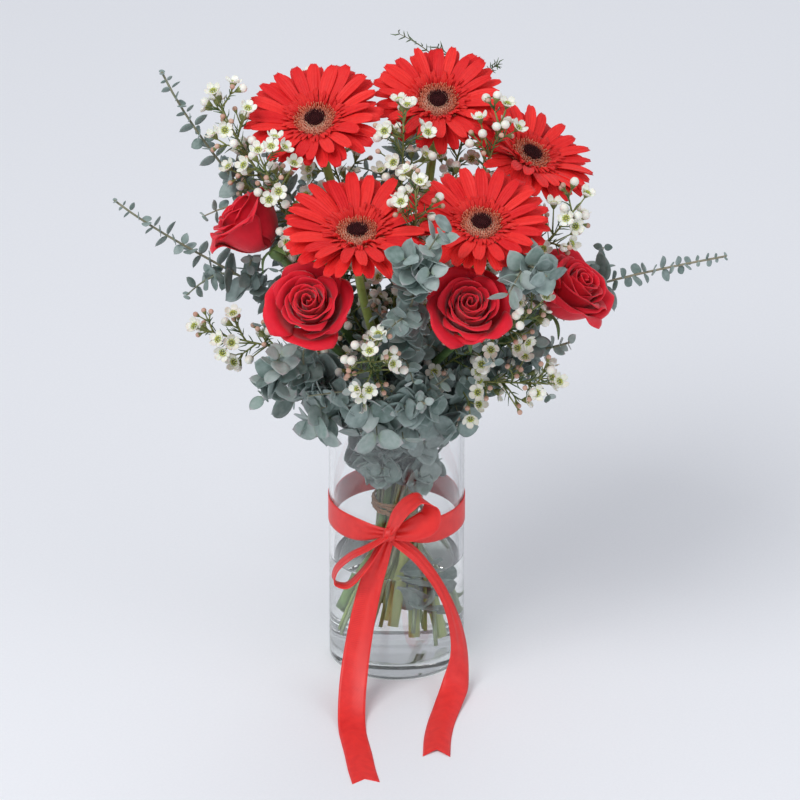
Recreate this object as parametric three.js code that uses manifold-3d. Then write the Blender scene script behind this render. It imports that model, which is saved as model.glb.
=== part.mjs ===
// Gerberas, roses, eucalyptus and waxflower, tied with twine, in a glass vase with a ribbon.
// Millimetres, +Z up, the origin in the middle of the vase's underside. The front is at -Y.

import * as THREE from "three";
import { mergeVertices } from "three/addons/utils/BufferGeometryUtils.js";
import Module from "manifold-3d";

const wasm = await Module();
wasm.setup();

// ---- Driving dimensions ------------------------------------------------------------------

const CLEARANCE = 0.3;

const VASE_RADIUS = 50;
const VASE_HEIGHT = 200;
const GLASS_WALL = 3.5;
const GLASS_FLOOR = 11;
const WATER_LEVEL = 82;
const ROUND_SIDES = 26;

const TIE_HEIGHT = 125;
const TIE_SPIRAL = 0.0135;
const FOOT_SPIRAL = 0.025;
const TIE_LEAD_ANGLE = 1.13;
const TIE_SPACING = 0.7;
const TIE_SCALE = 20;
const TWINE_RADIUS = 1.3;
const TWINE_TURNS = 3;
const TWINE_PITCH = 3.1;

const RIBBON_WIDTH = 20;
const RIBBON_THICKNESS = 0.8;
const BAND_HEIGHT = 121;
const RIBBON_LIE = 0.15;
const NOTCH_DEPTH = 9;

const GERBERA_STEM_RADIUS = 3.6;
const ROSE_STEM_RADIUS = 3;
const EUCALYPTUS_STEM_RADIUS = 1.5;
const WAXFLOWER_STEM_RADIUS = 1.3;
const FOOT_LOWEST = 17;
const FOOT_SPREAD = 22;
const STEM_STEPS = 5;
const RISE_HANDLE = 0.3;
const HEADING_HANDLE = 0.35;
const PACKING_ROUNDS = 600;
const PACKING_PASSES = 4;
const PACKING_PULL = 0.992;

const GERBERA_DEPTH = 21;
const ROSE_DEPTH = 33;
const BLADE_THICKNESS = 0.8;
const LEAF_LENGTH = 21;
const FLOWER_RADIUS = 6.8;
const BUD_RADIUS = 3.4;
const SMALL_BUD_RADIUS = 2;

// Each head: the middle of its face, how far the face leans off level (x and y for one of z)
// and its radius. Each spray: its tip and the heading that its stem has there.
const GERBERAS = [
  { face: [-59, 10, 428], lean: [-0.15, -0.46], radius: 53 },
  { face: [30, 42, 429], lean: [0.05, -0.55], radius: 50 },
  { face: [98, 20, 396], lean: [0.5, -0.25], radius: 51 },
  { face: [-28, -75, 378], lean: [0, -0.3], radius: 57 },
  { face: [61, -65, 380], lean: [0.05, -0.42], radius: 51 },
];

const ROSES = [
  { face: [-108, -28, 363], lean: [-1, 0.3] },
  { face: [-62, -105, 332], lean: [-0.15, -0.95] },
  { face: [52, -105, 330], lean: [0.1, -0.9] },
  { face: [127, -50, 319], lean: [0.8, -0.35] },
];

const EUCALYPTUS = [
  { tip: [-205, 10, 363], heading: [-0.75, 0, 0.65] },
  { tip: [-170, 30, 456], heading: [-0.4, 0.05, 0.9] },
  { tip: [240, 0, 323], heading: [0.97, 0, 0.2] },
  { tip: [14, -122, 366], heading: [0.1, -0.3, 0.95] },
  { tip: [92, -92, 360], heading: [0.3, -0.3, 0.9] },
  { tip: [-88, -72, 262], heading: [-0.7, -0.6, 0.3] },
  { tip: [-32, -98, 262], heading: [-0.2, -0.9, 0.4], leafy: 130 },
  { tip: [20, -95, 250], heading: [0.2, -0.9, 0.3], leafy: 120 },
  { tip: [125, -56, 280], heading: [0.85, -0.36, 0.45] },
  { tip: [-95, 70, 372], heading: [-0.5, 0.4, 0.75] },
  { tip: [95, 85, 372], heading: [0.5, 0.4, 0.75] },
  { tip: [0, 125, 380], heading: [0, 0.5, 0.85] },
];

const WAXFLOWERS = [
  { tip: [-128, 8, 440], heading: [-0.4, 0, 0.9] },
  { tip: [-96, -42, 416], heading: [-0.3, -0.2, 0.9] },
  { tip: [5, -12, 434], heading: [0, -0.1, 1] },
  { tip: [14, -84, 408], heading: [0, -0.2, 1] },
  { tip: [75, -10, 434], heading: [0.2, -0.1, 1] },
  { tip: [128, -44, 380], heading: [0.5, -0.2, 0.85] },
  { tip: [-135, -38, 280], heading: [-0.9, -0.2, 0.4] },
  { tip: [-20, -122, 300], heading: [-0.05, -0.7, 0.7] },
  { tip: [98, -96, 326], heading: [0.4, -0.5, 0.8] },
  { tip: [104, -82, 260], heading: [0.75, -0.6, 0.3] },
  { tip: [-60, 95, 412], heading: [-0.2, 0.3, 0.95] },
  { tip: [55, 100, 405], heading: [0.2, 0.3, 0.95] },
];

// ---- Small helpers -------------------------------------------------------------------------

/** A repeatable draw of numbers from 0 to 1. */
function seededDraw(seed) {
  let state = seed;
  return () => {
    state = (state * 16807) % 2147483647;
    return state / 2147483647;
  };
}

const vector = (values) => new THREE.Vector3(values[0], values[1], values[2]);

/** The turn and place that carry X along `out` and Z as near to `up` as can be. */
function placement(origin, out, up) {
  const x = out.clone().normalize();
  const y = up.clone().cross(x).normalize();
  const z = x.clone().cross(y);
  return new THREE.Matrix4().makeBasis(x, y, z).setPosition(origin);
}

/** The turn and place that carry Z along `axis`, turned about it by `roll`. */
function headPlacement(origin, axis, roll) {
  const x = new THREE.Vector3(1, 0, 0);
  x.addScaledVector(axis, -x.dot(axis)).normalize();
  const upright = new THREE.Matrix4().makeBasis(x, axis.clone().cross(x), axis);
  return upright.setPosition(origin).multiply(new THREE.Matrix4().makeRotationZ(roll));
}

/** A solid from points and triangles. */
function solidFrom(points, triangles) {
  return new wasm.Manifold(new wasm.Mesh({
    numProp: 3,
    vertProperties: new Float32Array(points),
    triVerts: new Uint32Array(triangles),
  }));
}

/** A solid from a closed geometry. */
function solidOf(geometry) {
  const bare = geometry.clone();
  bare.deleteAttribute("normal");
  bare.deleteAttribute("uv");
  const merged = mergeVertices(bare, 1e-4);
  const index = Array.from(merged.index.array);
  const triangles = [];
  for (let i = 0; i < index.length; i += 3) {
    const [a, b, c] = index.slice(i, i + 3);
    if (a !== b && b !== c && c !== a) {
      triangles.push(a, b, c);
    }
  }
  return solidFrom(merged.attributes.position.array, triangles);
}

/** All the solids joined into one. */
function fused(solids) {
  return solids.reduce((whole, part) => whole.add(part));
}

/**
 * A thin closed solid over a surface: its points, the upper side's direction at each, and its
 * triangles, counter-clockwise from above. Both faces are split alike.
 */
function shell(points, ups, triangles, thickness) {
  const coordinates = [];
  for (const half of [thickness / 2, -thickness / 2]) {
    points.forEach((point, i) => {
      const moved = point.clone().addScaledVector(ups[i], half);
      coordinates.push(moved.x, moved.y, moved.z);
    });
  }
  const under = points.length;
  const faces = [];
  const edges = new Map();
  for (const [a, b, c] of triangles) {
    faces.push(a, b, c, a + under, c + under, b + under);
    for (const [from, to] of [[a, b], [b, c], [c, a]]) {
      edges.set(`${from} ${to}`, [from, to]);
    }
  }
  for (const [from, to] of edges.values()) {
    if (!edges.has(`${to} ${from}`)) {
      faces.push(to, from, from + under, to, from + under, to + under);
    }
  }
  return solidFrom(coordinates, faces);
}

/** The triangles of a grid of points: rows along a surface, columns across it. */
function gridTriangles(rowCount, columns) {
  const triangles = [];
  for (let i = 0; i < rowCount - 1; i += 1) {
    for (let j = 0; j < columns - 1; j += 1) {
      const a = i * columns + j;
      triangles.push([a, a + 1, a + columns + 1], [a, a + columns + 1, a + columns]);
    }
  }
  return triangles;
}

/** A thin closed solid over a grid of cells, each a point and its upper side's direction. */
function sheet(rows, thickness) {
  const cells = rows.flat();
  const triangles = gridTriangles(rows.length, rows[0].length);
  return shell(cells.map((cell) => cell.at), cells.map((cell) => cell.up), triangles, thickness);
}

/** The upper side's direction of a rib in the XZ plane, between two of its stations. */
function ribUp(before, after) {
  return new THREE.Vector3(before.up - after.up, 0, after.out - before.out).normalize();
}

/**
 * A flat blade with its rib in the XZ plane of `place`. Each station holds how far out and up
 * the rib is and half the width there; the first may be a point, with no width.
 */
function blade(place, stations, grow = 0) {
  const points = [];
  const ups = [];
  stations.forEach((station, i) => {
    const before = stations[Math.max(i - 1, 0)];
    const after = stations[Math.min(i + 1, stations.length - 1)];
    const up = ribUp(before, after);
    const extra = i === stations.length - 1 ? grow : 0;
    const sides = station.half === 0 ? [0] : [1, -1];
    for (const side of sides) {
      const half = side * (station.half + grow);
      const at = new THREE.Vector3(station.out + extra * up.z, half, station.up - extra * up.x);
      points.push(at.applyMatrix4(place));
      ups.push(up.clone().transformDirection(place));
    }
  });
  const triangles = stations[0].half === 0 ? [[0, 2, 1]] : [];
  const first = stations[0].half === 0 ? 1 : 0;
  for (let a = first; a + 3 < points.length; a += 2) {
    triangles.push([a, a + 1, a + 3], [a, a + 3, a + 2]);
  }
  return shell(points, ups, triangles, BLADE_THICKNESS + 2 * grow);
}

/** A regular shape for the section of a tube. */
function roundShape(radius, sides) {
  const points = [];
  for (let i = 0; i < sides; i += 1) {
    const angle = (2 * Math.PI * i) / sides;
    points.push(new THREE.Vector2(radius * Math.cos(angle), radius * Math.sin(angle)));
  }
  return new THREE.Shape(points);
}

/** A course through points, straight between them, with an equal share of it for each. */
class Course extends THREE.Curve {
  constructor(points) {
    super();
    this.points = points;
  }

  getPoint(share) {
    const last = this.points.length - 1;
    const place = Math.min(Math.max(share, 0), 1) * last;
    const i = Math.min(Math.floor(place), last - 1);
    return this.points[i].clone().lerp(this.points[i + 1], place - i);
  }

  getPointAt(share) {
    return this.getPoint(share);
  }

  getTangentAt(share) {
    return this.getTangent(share);
  }
}

/** A closed tube through points. */
function tube(points, radius, sides) {
  const extrudePath = new Course(points);
  const settings = { extrudePath, steps: points.length - 1, bevelEnabled: false };
  return solidOf(new THREE.ExtrudeGeometry(roundShape(radius, sides), settings));
}

/** A straight tapered stalk from one point to another. */
function stalk(from, to, startRadius, endRadius, sides = 3) {
  const length = from.distanceTo(to);
  const geometry = new THREE.CylinderGeometry(endRadius, startRadius, length, sides);
  const middle = from.clone().add(to).multiplyScalar(0.5);
  const turn = new THREE.Quaternion().setFromUnitVectors(
    new THREE.Vector3(0, 1, 0),
    to.clone().sub(from).normalize(),
  );
  geometry.applyQuaternion(turn);
  geometry.translate(middle.x, middle.y, middle.z);
  return solidOf(geometry);
}

/** A turned solid: the profile runs from the axis round to the axis, Z along the axis. */
function turned(profile, segments, place = new THREE.Matrix4()) {
  const points = profile.map(([radius, height]) => new THREE.Vector2(radius, height));
  const geometry = new THREE.LatheGeometry(points, segments);
  geometry.rotateX(Math.PI / 2);
  geometry.applyMatrix4(place);
  return solidOf(geometry);
}

// ---- Placing pieces clear of each other ------------------------------------------------------

/** One piece of the arrangement: its name, finish and the solids that are fused into it. */
class Piece {
  constructor(name, finish, coreParts = 1) {
    this.name = name;
    this.finish = finish;
    this.parts = [];
    this.coreParts = coreParts;
  }

  add(solid) {
    this.parts.push({ solid, box: solid.boundingBox() });
  }
}

const pieces = [];

function newPiece(name, finish, coreParts) {
  const piece = new Piece(name, finish, coreParts);
  pieces.push(piece);
  return piece;
}

function boxesMeet(a, b) {
  return [0, 1, 2].every((axis) => a.min[axis] <= b.max[axis] && b.min[axis] <= a.max[axis]);
}

/** Whether a solid meets any of some parts. */
function meets(solid, parts) {
  const box = solid.boundingBox();
  return parts.some((part) => (
    boxesMeet(box, part.box) && !solid.intersect(part.solid).isEmpty()
  ));
}

/**
 * Adds to a piece the first of several candidate forms that is clear of every other piece, and
 * of the piece's own parts after its stem or core. `make(choice, grow)` gives the solid, grown
 * all round by `grow`.
 */
function addFirstClear(piece, choices, make) {
  for (const choice of choices) {
    const grown = make(choice, CLEARANCE);
    const others = pieces.filter((other) => other !== piece);
    if (!others.some((other) => meets(grown, other.parts))) {
      const solid = make(choice, 0);
      if (!meets(solid, piece.parts.slice(piece.coreParts))) {
        piece.add(solid);
        return choice;
      }
    }
  }
  return null;
}

// ---- Stems -----------------------------------------------------------------------------------

/** Every stem: where it ends, which way it heads there, and its thickness. */
function listStems() {
  const stems = [];
  GERBERAS.forEach((head, i) => {
    const axis = new THREE.Vector3(head.lean[0], head.lean[1], 1).normalize();
    const end = vector(head.face).addScaledVector(axis, -GERBERA_DEPTH);
    stems.push({ kind: "gerbera", i, end, heading: axis, radius: GERBERA_STEM_RADIUS, sides: 5 });
  });
  ROSES.forEach((head, i) => {
    const axis = new THREE.Vector3(head.lean[0], head.lean[1], 1).normalize();
    const end = vector(head.face).addScaledVector(axis, -ROSE_DEPTH);
    stems.push({ kind: "rose", i, end, heading: axis, radius: ROSE_STEM_RADIUS, sides: 5 });
  });
  for (const [kind, list, radius] of [
    ["eucalyptus", EUCALYPTUS, EUCALYPTUS_STEM_RADIUS],
    ["waxflower", WAXFLOWERS, WAXFLOWER_STEM_RADIUS],
  ]) {
    list.forEach((spray, i) => {
      const heading = vector(spray.heading).normalize();
      stems.push({ kind, i, end: vector(spray.tip), heading, radius, sides: 3 });
    });
  }
  return stems;
}

/**
 * Packs the stems side by side where they are tied. Each starts on the side that its end leans
 * to, further out the flatter it leans, and they are pulled in and pushed apart until they fit.
 */
function packAtTie(stems) {
  const turn = new THREE.Vector2(Math.cos(-TIE_LEAD_ANGLE), Math.sin(-TIE_LEAD_ANGLE));
  for (const stem of stems) {
    const rise = stem.end.z - TIE_HEIGHT;
    const x = (stem.end.x / rise) * TIE_SCALE;
    const y = (stem.end.y / rise) * TIE_SCALE;
    stem.tie = new THREE.Vector2(x * turn.x - y * turn.y, x * turn.y + y * turn.x);
  }
  for (let round = 0; round < PACKING_ROUNDS; round += 1) {
    for (const stem of stems) {
      stem.tie.multiplyScalar(PACKING_PULL);
    }
    for (let pass = 0; pass < PACKING_PASSES; pass += 1) {
      pushApart(stems);
    }
  }
}

/** Pushes apart each two stems that are nearer than the spacing at the tie. */
function pushApart(stems) {
  for (let i = 0; i < stems.length; i += 1) {
    for (let j = i + 1; j < stems.length; j += 1) {
      const apart = stems[j].tie.clone().sub(stems[i].tie);
      const lacking = stems[i].radius + stems[j].radius + TIE_SPACING - apart.length();
      if (lacking > 0) {
        apart.setLength(lacking / 2);
        stems[j].tie.add(apart);
        stems[i].tie.sub(apart);
      }
    }
  }
}

/**
 * Where a stem is at a height inside the vase: all stems lean round the bundle in a spiral, and
 * more so below the tie, where nothing holds their feet together.
 */
function bundlePoint(stem, height) {
  const lean = (height > TIE_HEIGHT ? TIE_SPIRAL : FOOT_SPIRAL) * (height - TIE_HEIGHT);
  const { x, y } = stem.tie;
  return new THREE.Vector3(x - lean * y, y + lean * x, height);
}

/**
 * The points of a stem: from its foot straight to the tie, then straight to the rim, then
 * curving to its end.
 */
function stemPoints(stem, foot) {
  const low = bundlePoint(stem, foot);
  const tied = bundlePoint(stem, TIE_HEIGHT);
  const rim = bundlePoint(stem, VASE_HEIGHT);
  const rise = rim.clone().sub(tied).normalize();
  const reach = rim.distanceTo(stem.end);
  const curve = new THREE.CubicBezierCurve3(
    rim,
    rim.clone().addScaledVector(rise, reach * RISE_HANDLE),
    stem.end.clone().addScaledVector(stem.heading, -reach * HEADING_HANDLE),
    stem.end,
  );
  return [low, tied, ...curve.getPoints(STEM_STEPS)];
}

const FINISHES = {
  gerberaStem: { color: 0x9aa84f, roughness: 0.6 },
  gerberaRays: { color: 0xd8200f, roughness: 0.55 },
  gerberaFlorets: { color: 0xe8846a, roughness: 0.7 },
  gerberaEye: { color: 0x2a1418, roughness: 0.8 },
  roseStem: { color: 0x4f6b3a, roughness: 0.6 },
  roseBloom: { color: 0xa8081c, roughness: 0.5 },
  eucalyptus: { color: 0x6f8f80, roughness: 0.75 },
  waxflower: { color: 0xe9ead6, roughness: 0.6 },
  glass: { color: 0xf2f7f6, roughness: 0.02, transparent: true, opacity: 0.3 },
  water: { color: 0xdcebe8, roughness: 0.0, transparent: true, opacity: 0.35 },
  twine: { color: 0x8a6a4c, roughness: 0.9 },
  ribbon: { color: 0xd81f2a, roughness: 0.35 },
};
const STEM_FINISH = {
  gerbera: FINISHES.gerberaStem,
  rose: FINISHES.roseStem,
  eucalyptus: FINISHES.eucalyptus,
  waxflower: FINISHES.waxflower,
};

const twoDigits = (number) => String(number).padStart(2, "0");

function stemName(stem) {
  const number = stem.i + 1;
  if (stem.kind === "gerbera" || stem.kind === "rose") {
    return `${stem.kind}_${number}_stem`;
  }
  return `${stem.kind}_${twoDigits(number)}`;
}

/** Makes every stem's piece, and the grown stems that leave holes in the water. */
function growStems(stems) {
  const draw = seededDraw(41);
  const wet = [];
  for (const stem of stems) {
    const foot = FOOT_LOWEST + FOOT_SPREAD * draw();
    stem.points = stemPoints(stem, foot);
    stem.piece = newPiece(stemName(stem), STEM_FINISH[stem.kind]);
    stem.piece.add(tube(stem.points, stem.radius, stem.sides));
    const low = bundlePoint(stem, foot);
    const high = bundlePoint(stem, WATER_LEVEL + 2);
    const down = low.clone().sub(high).normalize();
    const radius = stem.radius + 2 * CLEARANCE;
    wet.push(tube([low.addScaledVector(down, CLEARANCE), high], radius, stem.sides));
  }
  return wet;
}

// ---- Vase, water, twine and ribbon -------------------------------------------------------------

function vaseSolid() {
  const inner = VASE_RADIUS - GLASS_WALL;
  return turned([
    [0, 0],
    [VASE_RADIUS - 2, 0],
    [VASE_RADIUS, 2],
    [VASE_RADIUS, VASE_HEIGHT - 1],
    [VASE_RADIUS - GLASS_WALL / 2, VASE_HEIGHT],
    [inner, VASE_HEIGHT - 1],
    [inner, GLASS_FLOOR + 3],
    [inner - 3, GLASS_FLOOR],
    [0, GLASS_FLOOR],
  ], ROUND_SIDES);
}

function waterSolid(wet) {
  const radius = VASE_RADIUS - GLASS_WALL - CLEARANCE;
  const low = GLASS_FLOOR + CLEARANCE;
  const body = turned([
    [0, low],
    [radius - 3.1, low],
    [radius, low + 3.1],
    [radius, WATER_LEVEL],
    [0, WATER_LEVEL],
  ], ROUND_SIDES);
  return wet.reduce((rest, hole) => rest.subtract(hole), body);
}

/** The twine: a few close turns round the bundle. */
function twineSolid(stems) {
  const bundle = Math.max(...stems.map((stem) => stem.tie.length() + stem.radius));
  const perTurn = 11;
  const radius = (bundle + CLEARANCE) / Math.cos(Math.PI / perTurn) + TWINE_RADIUS;
  const points = [];
  for (let i = 0; i <= TWINE_TURNS * perTurn; i += 1) {
    const angle = (2 * Math.PI * i) / perTurn;
    const height = TIE_HEIGHT + TWINE_PITCH * (i / perTurn - TWINE_TURNS / 2);
    points.push(new THREE.Vector3(radius * Math.cos(angle), radius * Math.sin(angle), height));
  }
  return tube(points, TWINE_RADIUS, 4);
}

// Courses of the loose ribbon: points of its middle line, and its direction across at each.
const KNOT = [-5, -55, 124];
const LEFT_TAIL = [
  { at: [-6, -56, 122], across: [1, 0, 0], width: 0.4 },
  { at: [-13, -59, 104], across: [1, -0.1, 0], width: 0.7 },
  { at: [-20, -63, 82], across: [1, -0.1, 0], width: 0.85 },
  { at: [-28, -75, 45], across: [1, -0.1, 0], width: 0.95 },
  { at: [-32, -92, 19], across: [1, 0, 0], width: 1 },
  { at: [-33, -112, 4], across: [1, 0.05, 0], width: 1 },
  { at: [-32, -132, 0.6], across: [1, 0.1, 0], width: 1 },
  { at: [-28, -163, 0.55], across: [1, 0.1, 0], width: 1 },
  { at: [-25, -189, 0.55], across: [1, 0.12, 0], width: 1 },
  { at: [-22, -208, 0.55], across: [1, 0.15, 0], width: 1 },
];
const RIGHT_TAIL = [
  { at: [-3, -56, 122], across: [0.4, 0.2, 1], width: 0.4 },
  { at: [16, -58, 106], across: [0.5, 0.65, 0.3], width: 0.65 },
  { at: [37, -56, 70], across: [0.5, 0.9, 0], width: 0.8 },
  { at: [46, -58, 32], across: [0.65, 0.75, -0.1], width: 0.95 },
  { at: [44, -70, 11], across: [0.85, 0.5, 0], width: 1 },
  { at: [38, -92, 3], across: [1, 0.1, 0], width: 1 },
  { at: [33, -115, 0.6], across: [1, -0.2, 0], width: 1 },
  { at: [30, -140, 0.55], across: [1, -0.15, 0], width: 1 },
  { at: [29, -168, 0.55], across: [1, -0.05, 0], width: 1 },
];
const UPPER_LOOP = [
  { at: [-5, -56, 126], across: [0.4, -0.9, 0], width: 0.4 },
  { at: [0, -61, 140], across: [0.4, -0.9, 0], width: 0.85 },
  { at: [8, -64, 152], across: [0.45, -0.9, 0], width: 0.9 },
  { at: [17, -65, 157], across: [0.5, -0.85, 0], width: 0.9 },
  { at: [24, -65, 152], across: [0.6, -0.8, -0.1], width: 1 },
  { at: [24, -67, 142], across: [0.65, -0.65, -0.4], width: 1 },
  { at: [13, -65, 133], across: [0.6, -0.5, -0.65], width: 0.9 },
  { at: [-4, -56, 125], across: [0.4, -0.7, -0.6], width: 0.4 },
];
const LOWER_LOOP = [
  { at: [-6, -56, 124], across: [0.1, -0.97, 0.2], width: 0.4 },
  { at: [-21, -62, 117], across: [0.1, -0.97, 0.2], width: 0.8 },
  { at: [-35, -62, 109], across: [0.1, -0.97, 0.2], width: 0.85 },
  { at: [-45, -62, 98], across: [0.1, -0.97, 0.2], width: 0.85 },
  { at: [-46, -62, 88], across: [0.1, -0.97, 0.2], width: 0.85 },
  { at: [-37, -62, 85], across: [0.1, -0.97, 0.2], width: 0.85 },
  { at: [-24, -61, 97], across: [0.1, -0.97, 0.2], width: 0.8 },
  { at: [-6, -56, 123], across: [0.1, -0.97, 0.2], width: 0.4 },
];

/** A length of ribbon along a course. */
function ribbonLength(course, steps) {
  const middle = new THREE.CatmullRomCurve3(course.map((stop) => vector(stop.at)));
  const across = new THREE.CatmullRomCurve3(course.map((stop) => vector(stop.across)));
  const widths = new THREE.CatmullRomCurve3(course.map((stop) => vector([stop.width, 0, 0])));
  const lowest = RIBBON_THICKNESS / 2 + RIBBON_LIE;
  const rows = [];
  for (let i = 0; i <= steps; i += 1) {
    const t = i / steps;
    const along = middle.getTangent(t);
    const side = across.getPoint(t);
    side.addScaledVector(along, -side.dot(along)).normalize();
    const up = side.clone().cross(along);
    const half = (RIBBON_WIDTH / 2) * Math.min(widths.getPoint(t).x, 1);
    rows.push([-1, 1].map((edge) => {
      const at = middle.getPoint(t).addScaledVector(side, edge * half);
      at.z = Math.max(at.z, lowest);
      return { at, up };
    }));
  }
  return sheet(rows, RIBBON_THICKNESS);
}

/** The wedge that cuts the end of a tail to a swallow tail. */
function tailNotch(course) {
  const end = course[course.length - 1].at;
  const before = course[course.length - 2].at;
  const along = new THREE.Vector2(end[0] - before[0], end[1] - before[1]).normalize();
  const across = new THREE.Vector2(-along.y, along.x);
  const corner = (out, side) => new THREE.Vector2(
    end[0] + out * along.x + side * across.x,
    end[1] + out * along.y + side * across.y,
  );
  const half = RIBBON_WIDTH / 2;
  const outline = new THREE.Shape([corner(-NOTCH_DEPTH, 0), corner(2, half + 2), corner(2, -half - 2)]);
  return solidOf(new THREE.ExtrudeGeometry(outline, { depth: 4, bevelEnabled: false }));
}

function ribbonSolid() {
  const inner = VASE_RADIUS + CLEARANCE;
  const outer = inner + RIBBON_THICKNESS;
  const low = BAND_HEIGHT - RIBBON_WIDTH / 2;
  const high = BAND_HEIGHT + RIBBON_WIDTH / 2;
  const band = turned([[inner, low], [outer, low], [outer, high], [inner, high], [inner, low]], ROUND_SIDES);
  const knot = new THREE.SphereGeometry(1, 6, 4);
  knot.scale(5.5, 4.8, 6.5);
  knot.translate(KNOT[0], KNOT[1], KNOT[2]);
  return fused([
    band,
    solidOf(knot),
    ribbonLength(UPPER_LOOP, 9),
    ribbonLength(LOWER_LOOP, 9),
    ribbonLength(LEFT_TAIL, 10).subtract(tailNotch(LEFT_TAIL)),
    ribbonLength(RIGHT_TAIL, 11).subtract(tailNotch(RIGHT_TAIL)),
  ]);
}

// ---- Gerberas ----------------------------------------------------------------------------------

/** The green cup of bracts that the stem opens into. */
function bractCup(place) {
  return turned([
    [0, -GERBERA_DEPTH - 1],
    [3.2, -GERBERA_DEPTH - 1],
    [8, -15],
    [10.5, -9],
    [0, -8],
  ], 8, place);
}

/**
 * A round solid made of spokes: `profile(spoke)` lists the radii and heights, bottom to top.
 * The middles of its underside and its top are at `bottom` and `top`.
 */
function spokedSolid(place, spokes, profile, bottom, top) {
  const rings = profile(0).length;
  const points = [new THREE.Vector3(0, 0, bottom)];
  for (let i = 0; i < spokes; i += 1) {
    const angle = (2 * Math.PI * i) / spokes;
    for (const [radius, height] of profile(i)) {
      points.push(new THREE.Vector3(radius * Math.cos(angle), radius * Math.sin(angle), height));
    }
  }
  points.push(new THREE.Vector3(0, 0, top));
  const triangles = [];
  for (let i = 0; i < spokes; i += 1) {
    const a = 1 + i * rings;
    const b = 1 + ((i + 1) % spokes) * rings;
    triangles.push(0, b, a);
    for (let ring = 0; ring < rings - 1; ring += 1) {
      triangles.push(a + ring, b + ring, b + ring + 1, a + ring, b + ring + 1, a + ring + 1);
    }
    triangles.push(a + rings - 1, b + rings - 1, points.length - 1);
  }
  return solidFrom(points.flatMap((point) => point.applyMatrix4(place).toArray()), triangles);
}

/** The dark eye: a low dome with a bumpy edge. */
function eyeSolid(place) {
  return spokedSolid(place, 8, (spoke) => {
    const bump = 0.4 * (spoke % 2);
    return [[7.4, -0.5], [8.1 - bump, 1 + bump], [4, 2.2 - bump]];
  }, -0.5, 1.8);
}

/** The ring of short florets that stand out round the eye, on their own disc. */
function floretSolid(place) {
  return spokedSolid(place, 24, (spoke) => {
    const isFloret = spoke % 2 === 0;
    return [[isFloret ? 14.2 : 9.2, isFloret ? 1.6 : -3], [8, -0.8]];
  }, -4, -0.8);
}

const RAYS_ROUND = 10;
const RAY_ROOT = 10.5;
const RAY_LAYERS = [
  { height: -7.2, rise: 0.32, droop: 0, length: 1, half: 5.3, shift: 0 },
  { height: -6.2, rise: 0.52, droop: 0.26, length: 0.96, half: 5.2, shift: 0.5 },
  { height: -5.2, rise: 0.6, droop: 0.3, length: 0.5, half: 3.1, shift: 1 },
];

/** Ways for a ray to go when its first one is taken: bent, then bent and shorter. */
function rayChoices() {
  const choices = [];
  for (const length of [1, 0.92, 0.84, 0.72, 0.6, 0.48]) {
    for (const bend of [0, -0.12, 0.12, -0.26, 0.26, -0.42, 0.4, -0.6]) {
      choices.push({ bend, length });
    }
  }
  return choices;
}

/** The rib of a ray: it rises from the root, bends at its widest place and ends rounded. */
function rayStations(layer, ray, { bend, length }) {
  const rise = layer.rise + ray.tilt + bend * 0.6;
  const droop = layer.droop + ray.tilt + bend;
  const inner = ray.reach * length * 0.55;
  const outer = ray.reach * length * 0.45;
  const out = RAY_ROOT + inner * Math.cos(rise);
  const up = layer.height + inner * Math.sin(rise);
  const tipOut = out + outer * Math.cos(droop);
  const tipUp = up + outer * Math.sin(droop);
  return [
    { out: RAY_ROOT, up: layer.height, half: layer.half * 0.5 },
    { out, up, half: layer.half },
    { out: tipOut, up: tipUp, half: layer.half * 0.5 },
  ];
}

/** The five corners of a ray in its layer: its root corner, then its widest place and its tip. */
function rayCorners(layer, ray) {
  const corner = ray.index + layer.shift - 0.5;
  const angle = (2 * Math.PI * corner) / RAYS_ROUND;
  const root = new THREE.Vector3(RAY_ROOT * Math.cos(angle), RAY_ROOT * Math.sin(angle), layer.height);
  const corners = [{ at: root, up: new THREE.Vector3(0, 0, 1) }];
  const turn = new THREE.Matrix4().makeRotationZ(ray.angle);
  for (const k of [1, 2]) {
    const station = ray.stations[k];
    const up = ribUp(ray.stations[k - 1], ray.stations[2]).transformDirection(turn);
    for (const side of [-1, 1]) {
      const at = new THREE.Vector3(station.out, side * station.half, station.up);
      corners.push({ at: at.applyMatrix4(turn), up });
    }
  }
  return corners;
}

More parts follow.
